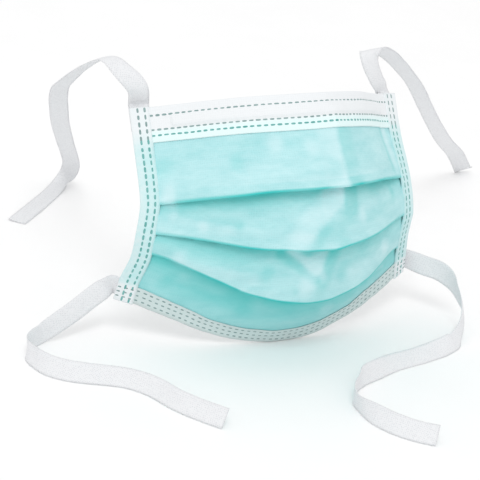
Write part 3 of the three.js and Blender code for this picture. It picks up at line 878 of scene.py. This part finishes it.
def linear(colour):
    """An sRGB hex colour as linear numbers."""
    channels = [int(colour[i : i + 2], 16) / 255 for i in (1, 3, 5)]
    return tuple(c / 12.92 if c <= 0.04045 else ((c + 0.055) / 1.055) ** 2.4 for c in channels) + (1.0,)


def add(tree, kind, inputs=(), **settings):
    """One node with its settings. Inputs give a number, a colour or another node's output."""
    node = tree.nodes.new(kind)
    for name, value in settings.items():
        setattr(node, name, value)
    for name, value in dict(inputs).items():
        if isinstance(value, bpy.types.NodeSocket):
            tree.links.new(value, node.inputs[name])
        else:
            node.inputs[name].default_value = value
    return node


def new_material(name, roughness, sheen=0.0):
    """A material with one surface shader, ready for its colour and relief."""
    material = bpy.data.materials.new(name)
    material.use_nodes = True
    tree = material.node_tree
    tree.nodes.clear()
    shader = add(
        tree,
        "ShaderNodeBsdfPrincipled",
        {
            "Roughness": roughness,
            "IOR": 1.49,
            "Specular IOR Level": 0.3,
            "Sheen Weight": sheen,
            "Sheen Roughness": 0.5,
        },
    )
    out = add(tree, "ShaderNodeOutputMaterial", {"Surface": shader.outputs["BSDF"]})
    return material, tree, shader


def cloth_place(tree, turn=0.0):
    """Places on the cloth in metres, from its own map, turned by an angle."""
    cloth = add(tree, "ShaderNodeUVMap", uv_map="cloth")
    return add(
        tree, "ShaderNodeMapping", {"Vector": cloth.outputs["UV"], "Rotation": (0, 0, math.radians(turn))}
    ).outputs["Vector"]


def fibre_height(tree, place, bond_pitch, fibre_width, bond_share):
    """Relief of a point-bonded nonwoven: rows of small bond dimples in a felt of fine fibres."""
    bond = add(
        tree,
        "ShaderNodeTexVoronoi",
        {"Vector": place, "Scale": 1 / (bond_pitch * MM), "Randomness": 0.25},
        feature="F1",
    )
    dimple = add(
        tree,
        "ShaderNodeMapRange",
        {
            "Value": bond.outputs["Distance"],
            "From Min": 0.12,
            "From Max": 0.42,
            "To Min": 0.0,
            "To Max": bond_share,
        },
    )
    remapped = add(tree, "ShaderNodeMapping", {"Vector": place, "Scale": (1.0, 0.35, 1.0)})
    fibres = add(
        tree,
        "ShaderNodeTexNoise",
        {
            "Vector": remapped.outputs["Vector"],
            "Scale": 1 / (fibre_width * MM),
            "Detail": 3.0,
            "Roughness": 0.6,
        },
    )
    return add(
        tree, "ShaderNodeMath", {0: dimple.outputs["Result"], 1: fibres.outputs["Fac"]}, operation="ADD"
    ).outputs["Value"]


def cloud(tree, place, size, low, high, stretch=1.0):
    """Slow change across the cloth, from low to high, with patches of the given size in mm."""
    spot = add(tree, "ShaderNodeMapping", {"Vector": place, "Scale": (1 / stretch, 1.0, 1.0)})
    patches = add(
        tree,
        "ShaderNodeTexNoise",
        {"Vector": spot.outputs["Vector"], "Scale": 1 / (size * MM), "Detail": 5.0, "Roughness": 0.68},
    )
    return add(
        tree,
        "ShaderNodeMapRange",
        {"Value": patches.outputs["Fac"], "From Min": 0.3, "From Max": 0.7, "To Min": low, "To Max": high},
    ).outputs["Result"]


def spunbond_teal(colours):
    """Spunbond polypropylene: matte, finely dimpled, a little cloudy where the fibres lie thicker."""
    material, tree, shader = new_material("teal spunbond polypropylene nonwoven", 0.88, 0.12)
    place = cloth_place(tree)
    tone = add(
        tree,
        "ShaderNodeMix",
        {0: cloud(tree, place, 8.0, 0.0, 1.0, 2.6), 6: linear(colours.panel), 7: linear(colours.panel_thick)},
        data_type="RGBA",
    )
    height = fibre_height(tree, place, 1.1, 0.42, 0.8)
    speck = add(
        tree,
        "ShaderNodeMapRange",
        {"Value": height, "From Min": 0.3, "From Max": 1.5, "To Min": 0.94, "To Max": 1.03},
    )
    shade = add(
        tree,
        "ShaderNodeMix",
        {0: 1.0, 6: tone.outputs[2], 7: speck.outputs["Result"]},
        data_type="RGBA",
        blend_type="MULTIPLY",
    )
    # painted light: paler teal as a painted highlight where the attribute is below 0, deeper teal as painted
    # shade where it is above 0
    painted_shading = add(tree, "ShaderNodeAttribute", attribute_name="painted_shading")
    remapped = add(
        tree,
        "ShaderNodeMapRange",
        {"Value": painted_shading.outputs["Fac"], "From Min": -1.0, "From Max": 0.0, "To Min": 1.0, "To Max": 0.0},
    )
    pale = add(
        tree,
        "ShaderNodeMix",
        {0: remapped.outputs["Result"], 6: shade.outputs[2], 7: linear(colours.panel_painted_highlight)},
        data_type="RGBA",
    )
    with_painted_shade = add(
        tree,
        "ShaderNodeMix",
        {0: painted_shading.outputs["Fac"], 6: pale.outputs[2], 7: linear(colours.panel_painted_shade)},
        data_type="RGBA",
    )
    inner = add(tree, "ShaderNodeAttribute", attribute_name="inner")
    lined = add(
        tree,
        "ShaderNodeMix",
        {0: inner.outputs["Fac"], 6: with_painted_shade.outputs[2], 7: linear(colours.lining)},
        data_type="RGBA",
    )
    tree.links.new(lined.outputs[2], shader.inputs["Base Color"])
    bump = add(tree, "ShaderNodeBump", {"Height": height, "Strength": 0.28, "Distance": 0.12 * MM})
    tree.links.new(bump.outputs["Normal"], shader.inputs["Normal"])
    return material


def spunbond_white(colours, base, name, tinted_to, white_from, tint_share):
    """Thin white spunbond: the teal sheet shows faintly through it below its lower weld rows."""
    material, tree, shader = new_material(name, 0.86, 0.1)
    place = cloth_place(tree)
    split = add(tree, "ShaderNodeSeparateXYZ", {"Vector": place})
    through = add(
        tree,
        "ShaderNodeMapRange",
        {
            "Value": split.outputs["Y"],
            "From Min": tinted_to * MM,
            "From Max": white_from * MM,
            "To Min": tint_share,
            "To Max": 0.0,
        },
    )
    tone = add(
        tree,
        "ShaderNodeMix",
        {0: through.outputs["Result"], 6: linear(base), 7: linear(colours.band_tinted)},
        data_type="RGBA",
    )
    height = fibre_height(tree, place, 1.1, 0.42, 0.7)
    speck = add(
        tree,
        "ShaderNodeMapRange",
        {"Value": height, "From Min": 0.3, "From Max": 1.4, "To Min": 0.96, "To Max": 1.01},
    )
    shade = add(
        tree,
        "ShaderNodeMix",
        {0: 1.0, 6: tone.outputs[2], 7: speck.outputs["Result"]},
        data_type="RGBA",
        blend_type="MULTIPLY",
    )
    tree.links.new(shade.outputs[2], shader.inputs["Base Color"])
    bump = add(tree, "ShaderNodeBump", {"Height": height, "Strength": 0.25, "Distance": 0.1 * MM})
    tree.links.new(bump.outputs["Normal"], shader.inputs["Normal"])
    return material


def binding_cloth(colours):
    """White tape folded over the pleat ends: tinted where it covers the teal sheet, white over the hems."""
    material, tree, shader = new_material("white nonwoven binding tape", 0.86, 0.1)
    place = cloth_place(tree)
    split = add(tree, "ShaderNodeSeparateXYZ", {"Vector": place})
    below = add(
        tree,
        "ShaderNodeMapRange",
        {
            "Value": split.outputs["Y"],
            "From Min": TINT_RISE[0] * MM,
            "From Max": TINT_RISE[1] * MM,
            "To Min": 0.1,
            "To Max": 1.0,
        },
        interpolation_type="SMOOTHSTEP",
    )
    above = add(
        tree,
        "ShaderNodeMapRange",
        {
            "Value": split.outputs["Y"],
            "From Min": TINT_FALL[0] * MM,
            "From Max": TINT_FALL[1] * MM,
            "To Min": 1.0,
            "To Max": 0.12,
        },
        interpolation_type="SMOOTHSTEP",
    )
    covered = add(
        tree,
        "ShaderNodeMath",
        {0: below.outputs["Result"], 1: above.outputs["Result"]},
        operation="MULTIPLY",
    )
    edge = add(
        tree,
        "ShaderNodeMapRange",
        {
            "Value": split.outputs["X"],
            "From Min": TINT_ACROSS[0] * MM,
            "From Max": TINT_ACROSS[1] * MM,
            "To Min": 1.0,
            "To Max": 0.75,
        },
        interpolation_type="SMOOTHSTEP",
    )
    patches = add(
        tree,
        "ShaderNodeMath",
        {0: cloud(tree, place, 3.0, 0.55, 1.0), 1: edge.outputs["Result"]},
        operation="MULTIPLY",
    )
    share = add(
        tree,
        "ShaderNodeMath",
        {0: covered.outputs["Value"], 1: patches.outputs["Value"]},
        operation="MULTIPLY",
    )
    tone = add(
        tree,
        "ShaderNodeMix",
        {0: share.outputs["Value"], 6: linear(colours.band), 7: linear(colours.binding_tinted)},
        data_type="RGBA",
    )
    tree.links.new(tone.outputs[2], shader.inputs["Base Color"])
    height = fibre_height(tree, place, 1.0, 0.4, 0.7)
    bump = add(tree, "ShaderNodeBump", {"Height": height, "Strength": 0.25, "Distance": 0.1 * MM})
    tree.links.new(bump.outputs["Normal"], shader.inputs["Normal"])
    return material


def tape_cloth(colours):
    """Calendered nonwoven tape: white, with rows of fine pressed points that catch the light."""
    material, tree, shader = new_material("white embossed nonwoven tape", 0.82, 0.08)
    place = cloth_place(tree, 38)
    bond = add(
        tree,
        "ShaderNodeTexVoronoi",
        {"Vector": place, "Scale": 1 / (0.85 * MM), "Randomness": 0.35},
        feature="F1",
    )
    dimple = add(
        tree,
        "ShaderNodeMapRange",
        {"Value": bond.outputs["Distance"], "From Min": 0.15, "From Max": 0.42, "To Min": 0.0, "To Max": 1.0},
    )
    tone = add(
        tree,
        "ShaderNodeMix",
        {0: dimple.outputs["Result"], 6: linear(colours.tie_pressed), 7: linear(colours.tie)},
        data_type="RGBA",
    )
    tree.links.new(tone.outputs[2], shader.inputs["Base Color"])
    bump = add(
        tree, "ShaderNodeBump", {"Height": dimple.outputs["Result"], "Strength": 0.5, "Distance": 0.12 * MM}
    )
    tree.links.new(bump.outputs["Normal"], shader.inputs["Normal"])
    return material


def fused_spots(name, colour, colour_thin):
    """Fused polypropylene: the layers melt together, turn glassy and let the colour below through."""
    material, tree, shader = new_material(name, 0.42)
    where = add(tree, "ShaderNodeTexCoord")
    patches = cloud(tree, where.outputs["Object"], 3.5, 0.0, 1.0)
    tone = add(
        tree, "ShaderNodeMix", {0: patches, 6: linear(colour), 7: linear(colour_thin)}, data_type="RGBA"
    )
    tree.links.new(tone.outputs[2], shader.inputs["Base Color"])
    return material


def wire_coat(colours):
    """Polyethylene coat over a soft steel wire: white, satin, with faint draw marks along it."""
    material, tree, shader = new_material("white polyethylene coated wire", 0.5)
    where = add(tree, "ShaderNodeTexCoord")
    drawn = add(tree, "ShaderNodeMapping", {"Vector": where.outputs["Object"], "Scale": (0.2, 1.0, 3.0)})
    marks = add(tree, "ShaderNodeTexNoise", {"Vector": drawn.outputs["Vector"], "Scale": 1 / (1.2 * MM)})
    tone = add(
        tree,
        "ShaderNodeMix",
        {0: marks.outputs["Fac"], 6: linear(colours.wire), 7: linear(colours.band)},
        data_type="RGBA",
    )
    tree.links.new(tone.outputs[2], shader.inputs["Base Color"])
    return material


# Weld dashes


def dash_tree(material):
    """Geometry nodes that lay rounded dashes along rows at an even pitch, flat on the cloth."""
    tree = bpy.data.node_groups.new("weld_dashes", "GeometryNodeTree")
    face = tree.interface
    face.new_socket("Rows", in_out="INPUT", socket_type="NodeSocketGeometry")
    sizes = (
        ("Pitch", 3.23 * MM),
        ("Dash length", 1.8 * MM),
        ("Dash width", 0.7 * MM),
        ("Dash height", 0.1 * MM),
    )
    for name, value in sizes:
        socket = face.new_socket(name, in_out="INPUT", socket_type="NodeSocketFloat")
        socket.subtype = "DISTANCE"
        socket.default_value = value
    seed = face.new_socket("Seed", in_out="INPUT", socket_type="NodeSocketInt")
    seed.default_value = 7
    face.new_socket("Dashes", in_out="OUTPUT", socket_type="NodeSocketGeometry")
    given = add(tree, "NodeGroupInput").outputs
    curve = add(tree, "GeometryNodeMeshToCurve", {"Mesh": given["Rows"]})
    spaced = add(
        tree,
        "GeometryNodeResampleCurve",
        {"Curve": curve.outputs["Curve"], "Length": given["Pitch"]},
        mode="LENGTH",
    )
    size = add(
        tree,
        "ShaderNodeCombineXYZ",
        {"X": given["Dash length"], "Y": given["Dash width"], "Z": given["Dash height"]},
    )
    block = add(tree, "GeometryNodeMeshCube", {"Size": size.outputs["Vector"], "Vertices X": 3})
    pad = add(tree, "GeometryNodeSubdivisionSurface", {"Mesh": block.outputs["Mesh"], "Level": 2})
    tangent = add(tree, "GeometryNodeInputTangent")
    outward = add(tree, "GeometryNodeInputNamedAttribute", {"Name": "outward"}, data_type="FLOAT_VECTOR")
    along = add(
        tree,
        "FunctionNodeAlignRotationToVector",
        {"Vector": tangent.outputs["Tangent"]},
        axis="X",
        pivot_axis="AUTO",
    )
    upright = add(
        tree,
        "FunctionNodeAlignRotationToVector",
        {"Rotation": along.outputs["Rotation"], "Vector": outward.outputs["Attribute"]},
        axis="Z",
        pivot_axis="X",
    )
    uneven = add(
        tree,
        "FunctionNodeRandomValue",
        {"Min": (0.86, 0.85, 0.9), "Max": (1.1, 1.12, 1.05), "Seed": given["Seed"]},
        data_type="FLOAT_VECTOR",
    )
    laid = add(
        tree,
        "GeometryNodeInstanceOnPoints",
        {
            "Points": spaced.outputs["Curve"],
            "Instance": pad.outputs["Mesh"],
            "Rotation": upright.outputs["Rotation"],
            "Scale": uneven.outputs["Value"],
        },
    )
    real = add(tree, "GeometryNodeRealizeInstances", {"Geometry": laid.outputs["Instances"]})
    dressed = add(
        tree, "GeometryNodeSetMaterial", {"Geometry": real.outputs["Geometry"], "Material": material}
    )
    add(tree, "NodeGroupOutput", {"Dashes": dressed.outputs["Geometry"]})
    return tree


def weld_rows(name, rows, material, pitch, dash_length, dash_width):
    """One plain mesh of dashes along rows. Each row lists places and outward directions."""
    verts = []
    edges = []
    outs = []
    for row in rows:
        start = len(verts)
        verts.extend(point * MM for point, out in row)
        outs.extend(out for point, out in row)
        edges.extend((start + i, start + i + 1) for i in range(len(row) - 1))
    mesh = bpy.data.meshes.new(name + "_rows")
    mesh.from_pydata(verts, edges, [])
    outward = mesh.attributes.new("outward", "FLOAT_VECTOR", "POINT")
    for item, out in zip(outward.data, outs):
        item.vector = out
    holder = bpy.data.objects.new(name, mesh)
    bpy.context.scene.collection.objects.link(holder)
    tree = dash_tree(material)
    modifier = holder.modifiers.new("dashes", "NODES")
    modifier.node_group = tree
    sockets = {item.name: item.identifier for item in tree.interface.items_tree if item.in_out == "INPUT"}
    modifier[sockets["Pitch"]] = pitch
    modifier[sockets["Dash length"]] = dash_length
    modifier[sockets["Dash width"]] = dash_width
    graph = bpy.context.evaluated_depsgraph_get()
    plain = bpy.data.meshes.new_from_object(holder.evaluated_get(graph))
    plain.name = name
    holder.modifiers.clear()
    holder.data = plain
    if len(plain.polygons) < 40:
        raise RuntimeError(name + ": no dashes were made")
    plain.polygons.foreach_set("use_smooth", [True] * len(plain.polygons))
    if not plain.materials:
        plain.materials.append(material)
    return holder


def row_across(sizes, bowl, down_of, out_of, low, high, raise_by):
    """A weld row across the mask. It climbs onto the bindings where it meets them."""
    row = []
    free = sizes.mask_width / MM / 2 - sizes.binding_width / MM + BINDING_OUTSET
    for across in spread(low, high, 160):
        here = bowl.column(round(across, 2))
        down = down_of(here)
        point, along, side, normal = here.frame_at(down)
        level = out_of(across, down)
        if abs(across) > free - 0.3:
            level = stack_out(sizes, bowl, 1 if across > 0 else -1, down / here.total)
        out = level + crumple(sizes, across, down) + raise_by
        row.append((point + normal * out + BODY_SHIFT, normal))
    return row


def row_down(sizes, bowl, hand, inward, first, last, raise_by):
    """A weld row down a binding. A negative last place counts from the bottom edge."""
    half = sizes.mask_width / MM / 2
    across = hand * (half - inward)
    here = bowl.column(across)
    row = []
    if last < 0:
        last = here.total + last
    for length in spread(first, last, 160):
        point, along, side, normal = here.frame_at(length)
        level = stack_out(sizes, bowl, hand, length / here.total)
        out = level + crumple(sizes, across, length) + raise_by
        row.append((point + normal * out + BODY_SHIFT, normal))
    return row


# Settings that a user may change


def length_setting(name, description, default):
    return bpy.props.FloatProperty(name=name, description=description, default=default, unit="LENGTH")


def colour_setting(name, description, default):
    described = description + ", as an sRGB hex value"
    return bpy.props.StringProperty(name=name, description=described, default=default)


class MaskSizes(bpy.types.PropertyGroup):
    """Sizes of the mask, as made flat or as it stands."""

    mask_width: length_setting("Mask width", "Width of the flat mask", 0.175)
    stand_height: length_setting("Standing height", "Height of the top edge's middle", 0.129)
    bowl_depth: length_setting("Bowl depth", "How far the middle bows out", 0.045)
    top_hem: length_setting("Top hem", "Width of the band turned over the top edge", 0.0176)
    bottom_hem: length_setting("Bottom hem", "Width of the band turned over the bottom edge", 0.0094)
    binding_width: length_setting("Binding width", "Width of the tape over each side edge", 0.009)
    tie_width: length_setting("Tie width", "Width of the tie tapes", 0.01)
    tie_overlap: length_setting("Tie overlap", "Length of each tie welded to the mask", 0.011)
    fold_lift: length_setting("Fold lift", "How far the fold edges stand off in the middle", 0.0026)
    fold_recess: length_setting("Fold recess", "How far the sheet falls back under a fold", 0.002)
    crumple: length_setting("Crumple", "Depth of the soft dents in the cloth", 0.0009)
    weld_pitch: length_setting("Weld pitch", "Distance from one weld dash to the next", 0.00323)
    weld_length: length_setting("Weld dash length", "Length of one weld dash", 0.0024)
    weld_width: length_setting("Weld dash width", "Width of one weld dash", 0.00105)


class MaskColours(bpy.types.PropertyGroup):
    """Colours of the cloths, the welds and the floor."""

    panel: colour_setting("Panel", "Teal of the pleated sheet", "#C0E9EC")
    panel_thick: colour_setting("Panel, thick", "Teal where the fibres lie thicker", "#A2DADD")
    # painted shade under the folds, and a painted highlight on fold lips and crease flanks
    panel_painted_shade: colour_setting("Panel, deep", "Teal in the shade of the folds", "#2CC6C2")
    panel_painted_highlight: colour_setting("Panel, pale", "Teal stretched over a fold edge or a crease", "#E2F5F9")
    lining: colour_setting("Lining", "White inner layer of the sheet", "#EFF3F4")
    band: colour_setting("Band", "White of the hems", "#ECEFF1")
    # painted shade: the lower hem's white is darker because it faces down
    band_low_shaded: colour_setting("Lower band", "Lower hem, where the sheet shows through", "#C4CFCE")
    band_tinted: colour_setting("Band, tinted", "White with the sheet showing through", "#E4F7F7")
    binding_tinted: colour_setting("Binding, tinted", "Binding over the sheet", "#BAE6E7")
    tie: colour_setting("Tie", "White of the tie tapes", "#EAEBED")
    tie_pressed: colour_setting("Tie, pressed", "Pressed points of the tie tapes", "#D9DBDE")
    weld: colour_setting("Weld", "Weld dashes on white", "#7A9493")
    weld_thin: colour_setting("Weld, thin", "Paler parts of the weld dashes on white", "#98B1B0")
    weld_teal: colour_setting("Weld on teal", "Weld dashes over the teal sheet", "#4F9E99")
    weld_teal_thin: colour_setting("Weld on teal, thin", "Paler parts of the dashes over teal", "#84BDBA")
    wire: colour_setting("Wire", "Coat of the nose wire", "#E4E6E8")
    floor: colour_setting("Floor", "Pale studio floor", "#FDFDFD")
    floor_patch: colour_setting("Floor, patches", "Slightly darker patches of the floor", "#FBFBFB")


def settings():
    scene = bpy.context.scene
    return scene.mask_sizes, scene.mask_colours


# One operator for the stage and one for each group of pieces


class MASK_OT_stage(bpy.types.Operator):
    """Make the camera, the pale floor and the soft light"""

    bl_idname = "mask.stage"
    bl_label = "Camera, floor and light"

    def execute(self, context):
        colours = context.scene.mask_colours
        make_camera()
        floor_mesh = bpy.data.meshes.new("floor")
        corners = [(x * FLOOR_REACH, y * FLOOR_REACH, 0) for x, y in ((-1, -1), (1, -1), (1, 1), (-1, 1))]
        floor_mesh.from_pydata(corners, [], [(0, 1, 2, 3)])
        floor = bpy.data.objects.new("floor", floor_mesh)
        context.scene.collection.objects.link(floor)
        material, tree, shader = new_material("matte white painted board", 0.9)
        where = add(tree, "ShaderNodeTexCoord")
        patches = cloud(tree, where.outputs["Object"], 60.0, 0.0, 1.0)
        tone = add(
            tree,
            "ShaderNodeMix",
            {0: patches, 6: linear(colours.floor), 7: linear(colours.floor_patch)},
            data_type="RGBA",
        )
        tree.links.new(tone.outputs[2], shader.inputs["Base Color"])
        floor_mesh.materials.append(material)
        world = bpy.data.worlds.new("studio")
        world.use_nodes = True
        sky = world.node_tree.nodes["Background"]
        sky.inputs["Color"].default_value = (1.0, 1.0, 1.0, 1.0)
        sky.inputs["Strength"].default_value = WORLD_STRENGTH
        context.scene.world = world
        for light in LIGHTS:
            soft_light(**light)
        context.scene.view_settings.view_transform = "Standard"
        return {"FINISHED"}


def soft_light(name, place, target, size, power):
    """A square lamp at a place, turned to its target."""
    data = bpy.data.lights.new(name, "AREA")
    data.shape = "SQUARE"
    data.size = size
    data.energy = power
    lamp = bpy.data.objects.new(name, data)
    lamp.location = place
    lamp.rotation_euler = (Vector(target) - Vector(place)).to_track_quat("-Z", "Y").to_euler()
    bpy.context.scene.collection.objects.link(lamp)


def make_camera():
    """Camera at the photograph's angle: 28 degrees to the left, 23 above, turned a little clockwise."""
    azimuth, elevation, roll = (math.radians(v) for v in (CAMERA_AZIMUTH, CAMERA_ELEVATION, CAMERA_ROLL))
    back = Vector(
        (
            math.sin(azimuth) * math.cos(elevation),
            -math.cos(azimuth) * math.cos(elevation),
            math.sin(elevation),
        )
    )
    right = Vector((math.cos(azimuth), math.sin(azimuth), 0))
    up = back.cross(right)
    across = right * math.cos(roll) + up * math.sin(roll)
    upward = up * math.cos(roll) - right * math.sin(roll)
    target = Vector(CAMERA_TARGET)
    data = bpy.data.cameras.new("camera")
    data.sensor_width = 36.0
    data.lens = CAMERA_LENS
    data.clip_start = 0.05
    data.clip_end = 30.0
    camera = bpy.data.objects.new("camera", data)
    turn = Matrix((across, upward, back)).transposed().to_4x4()
    camera.matrix_world = Matrix.Translation(target + back * CAMERA_DISTANCE) @ turn
    bpy.context.scene.collection.objects.link(camera)
    bpy.context.scene.camera = camera


class MASK_OT_panel(bpy.types.Operator):
    """Make the pleated sheet"""

    bl_idname = "mask.panel"
    bl_label = "Pleated sheet"

    def execute(self, context):
        sizes, colours = settings()
        bowl = shared_bowl(sizes)
        edge = sizes.mask_width / MM / 2 - SHEET_INSET
        sections = [sheet_section(sizes, bowl, across) for across in spread(-edge, edge, 220)]
        piece = cloth_mesh("pleated_sheet", sections, spunbond_teal(colours))
        finish_piece(piece, "panel", "pleated_panel")
        return {"FINISHED"}


class MASK_OT_hems(bpy.types.Operator):
    """Make the bands turned over the top and bottom edges"""

    bl_idname = "mask.hems"
    bl_label = "Hems"

    def execute(self, context):
        sizes, colours = settings()
        bowl = shared_bowl(sizes)
        edge = sizes.mask_width / MM / 2 - BAND_INSET
        places = spread(-edge, edge, 200)
        top = [layer_section(sizes, bowl, a, top_hem_line(sizes, a), HEM_CLOTH) for a in places]
        name = "white spunbond polypropylene hem"
        white = spunbond_white(colours, colours.band, name, tinted_to=4.6, white_from=6.6, tint_share=1.0)
        finish_piece(cloth_mesh("top_band", top, white), "hem", "top_hem")
        lines = [(a, bottom_hem_line(sizes, bowl.column(a).total)) for a in places]
        low = [layer_section(sizes, bowl, a, line, HEM_CLOTH) for a, line in lines]
        # the lower hem's white is painted darker as shade, with a little teal showing through
        name = "white spunbond polypropylene lower hem"
        pale = spunbond_white(colours, colours.band_low_shaded, name, tinted_to=7.0, white_from=9.0, tint_share=0.35)
        piece = cloth_mesh("bottom_band", low, pale)
        # the hem is pressed flat where the mask stands on it
        for vert in piece.data.vertices:
            vert.co.z = max(vert.co.z, 0.0)
        finish_piece(piece, "hem", "bottom_hem")
        return {"FINISHED"}


class MASK_OT_bindings(bpy.types.Operator):
    """Make the tapes folded over the side edges"""

    bl_idname = "mask.bindings"
    bl_label = "Side bindings"

    def execute(self, context):
        sizes, colours = settings()
        bowl = shared_bowl(sizes)
        cloth = binding_cloth(colours)
        for name, hand in (("left", -1), ("right", 1)):
            sections = [binding_section(sizes, bowl, hand, share) for share in spread(0, 1, 150)]
            piece = cloth_mesh("binding_tape_" + name, sections, cloth)
            finish_piece(piece, "binding", "side_binding_" + name)
        return {"FINISHED"}


class MASK_OT_wire(bpy.types.Operator):
    """Make the coated wire inside the top hem"""

    bl_idname = "mask.wire"
    bl_label = "Nose wire"

    def execute(self, context):
        sizes, colours = settings()
        bowl = shared_bowl(sizes)
        sections = []
        lift = SHEET / 2 + 0.4
        for across in spread(-WIRE_LENGTH / 2, WIRE_LENGTH / 2, 120):
            here = bowl.column(across)
            ends = smooth((WIRE_LENGTH / 2 - abs(across)) / 1.2) * 0.5 + 0.5
            half = WIRE_WIDTH / 2 * ends
            middle = WIRE_DOWN + WIRE_WIDTH / 2
            front = []
            back = []
            for share in spread(-1, 1, 8):
                down = middle + half * share
                bulge = WIRE_BULGE * math.sqrt(max(0.0, 1 - share**4)) + 0.03
                out = lift + crumple(sizes, across, down)
                front.append(here.place(down, out + bulge) + BODY_SHIFT)
                back.append(here.place(down, out - bulge * 0.6) + BODY_SHIFT)
            cloth = [(across, down) for down in spread(-1, 1, 8)]
            sections.append({"front": front, "back": back, "cloth": cloth})
        finish_piece(cloth_mesh("coated_wire", sections, wire_coat(colours)), "wire", "nose_wire")
        return {"FINISHED"}


class MASK_OT_ties(bpy.types.Operator):
    """Make the four tie tapes"""

    bl_idname = "mask.ties"
    bl_label = "Tie tapes"

    def execute(self, context):
        sizes, colours = settings()
        bowl = shared_bowl(sizes)
        cloth = tape_cloth(colours)
        for name, tie in TIES.items():
            piece = cloth_mesh("tape_" + name, tie_sections(sizes, bowl, tie), cloth)
            finish_piece(piece, "tie", "tie_" + name)
        return {"FINISHED"}


class MASK_OT_welds(bpy.types.Operator):
    """Lay the weld dashes along the hems and the bindings"""

    bl_idname = "mask.welds"
    bl_label = "Weld dashes"

    def execute(self, context):
        sizes, colours = settings()
        bowl = shared_bowl(sizes)
        half = sizes.mask_width / MM / 2
        free = half - sizes.binding_width / MM - 1.0
        free_ends = (-free + 0.4, free - 0.4)
        hem_ends = (-half + SIDE_ROW_INSET, half - SIDE_ROW_INSET)
        top_hem = sizes.top_hem / MM
        on_white = fused_spots("fused polypropylene on white", colours.weld, colours.weld_thin)
        on_teal = fused_spots("fused polypropylene on teal", colours.weld_teal, colours.weld_teal_thin)
        hem_proud = HEM_CLOTH / 2 + WELD_PROUD
        tape_proud = TAPE_CLOTH / 2 + WELD_PROUD

        def hem_out(across, down):
            return top_hem_out(sizes, across, down)

        def flat_out(across, down):
            return HEM_OUT

        def top_row(share):
            return row_across(sizes, bowl, lambda here: top_hem * share, hem_out, *free_ends, hem_proud)

        def low_row(up):
            return row_across(sizes, bowl, lambda here: here.total - up, flat_out, *hem_ends, hem_proud)

        white_rows = [top_row(share) for share in WHITE_ROWS]
        teal_rows = [top_row(TINTED_ROW)]
        low_rows = [low_row(up) for up in LOW_ROWS]
        side_rows = []
        side_top_rows = []
        for hand in (-1, 1):
            for inward in SIDE_ROWS:
                place = (sizes, bowl, hand, inward)
                side_top_rows.append(row_down(*place, SIDE_ROW_INSET, WHITE_PART_END, tape_proud))
                side_rows.append(row_down(*place, TEAL_PART_START, -SIDE_ROW_INSET, tape_proud))
        # name, rows, cloth below, slot, and the size of the dashes as a share of their settings
        pieces = (
            ("welds_top", white_rows, on_white, "hem", 1.0),
            ("welds_top_lower", teal_rows, on_teal, "hem", 1.0),
            ("welds_bottom", low_rows, on_white, "hem", 0.8),
            ("welds_sides_top", side_top_rows, on_white, "binding", 1.05),
            ("welds_sides", side_rows, on_teal, "binding", 1.1),
        )
        for name, rows, material, slot, share in pieces:
            dash = (sizes.weld_length * share, sizes.weld_width * share)
            finish_piece(weld_rows(name, rows, material, sizes.weld_pitch, *dash), slot)
        return {"FINISHED"}


class MASK_PT_panel(bpy.types.Panel):
    """Lists the sizes, the colours and the operators"""

    bl_idname = "MASK_PT_panel"
    bl_label = "Pleated mask"
    bl_space_type = "VIEW_3D"
    bl_region_type = "UI"
    bl_category = "Mask"

    def draw(self, context):
        for group in (context.scene.mask_sizes, context.scene.mask_colours):
            for name in group.__annotations__:
                self.layout.prop(group, name)
        for operator in OPERATORS:
            self.layout.operator(operator.bl_idname)


BOWLS = {}


def shared_bowl(sizes):
    """One bowl for each set of sizes, so that all pieces share its worked-out columns."""
    key = tuple(getattr(sizes, name) for name in MaskSizes.__annotations__)
    if key not in BOWLS:
        BOWLS[key] = Bowl(sizes)
    return BOWLS[key]


def finish_piece(piece, slot, *nodes):
    """Tie a piece to the mask's body and hide the solids it stands in for. The slot is not used."""
    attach(piece, "root")
    if nodes:
        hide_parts(*nodes)


OPERATORS = (
    MASK_OT_stage,
    MASK_OT_panel,
    MASK_OT_hems,
    MASK_OT_bindings,
    MASK_OT_wire,
    MASK_OT_ties,
    MASK_OT_welds,
)
CLASSES = (MaskSizes, MaskColours) + OPERATORS + (MASK_PT_panel,)


def register():
    for cls in CLASSES:
        bpy.utils.register_class(cls)
    bpy.types.Scene.mask_sizes = bpy.props.PointerProperty(type=MaskSizes)
    bpy.types.Scene.mask_colours = bpy.props.PointerProperty(type=MaskColours)


def unregister():
    del bpy.types.Scene.mask_colours
    del bpy.types.Scene.mask_sizes
    for cls in reversed(CLASSES):
        bpy.utils.unregister_class(cls)


def main():
    register()
    bpy.ops.mask.stage()
    bpy.ops.mask.panel()
    bpy.ops.mask.hems()
    bpy.ops.mask.bindings()
    bpy.ops.mask.wire()
    bpy.ops.mask.ties()
    bpy.ops.mask.welds()


if __name__ == "__main__":
    main()
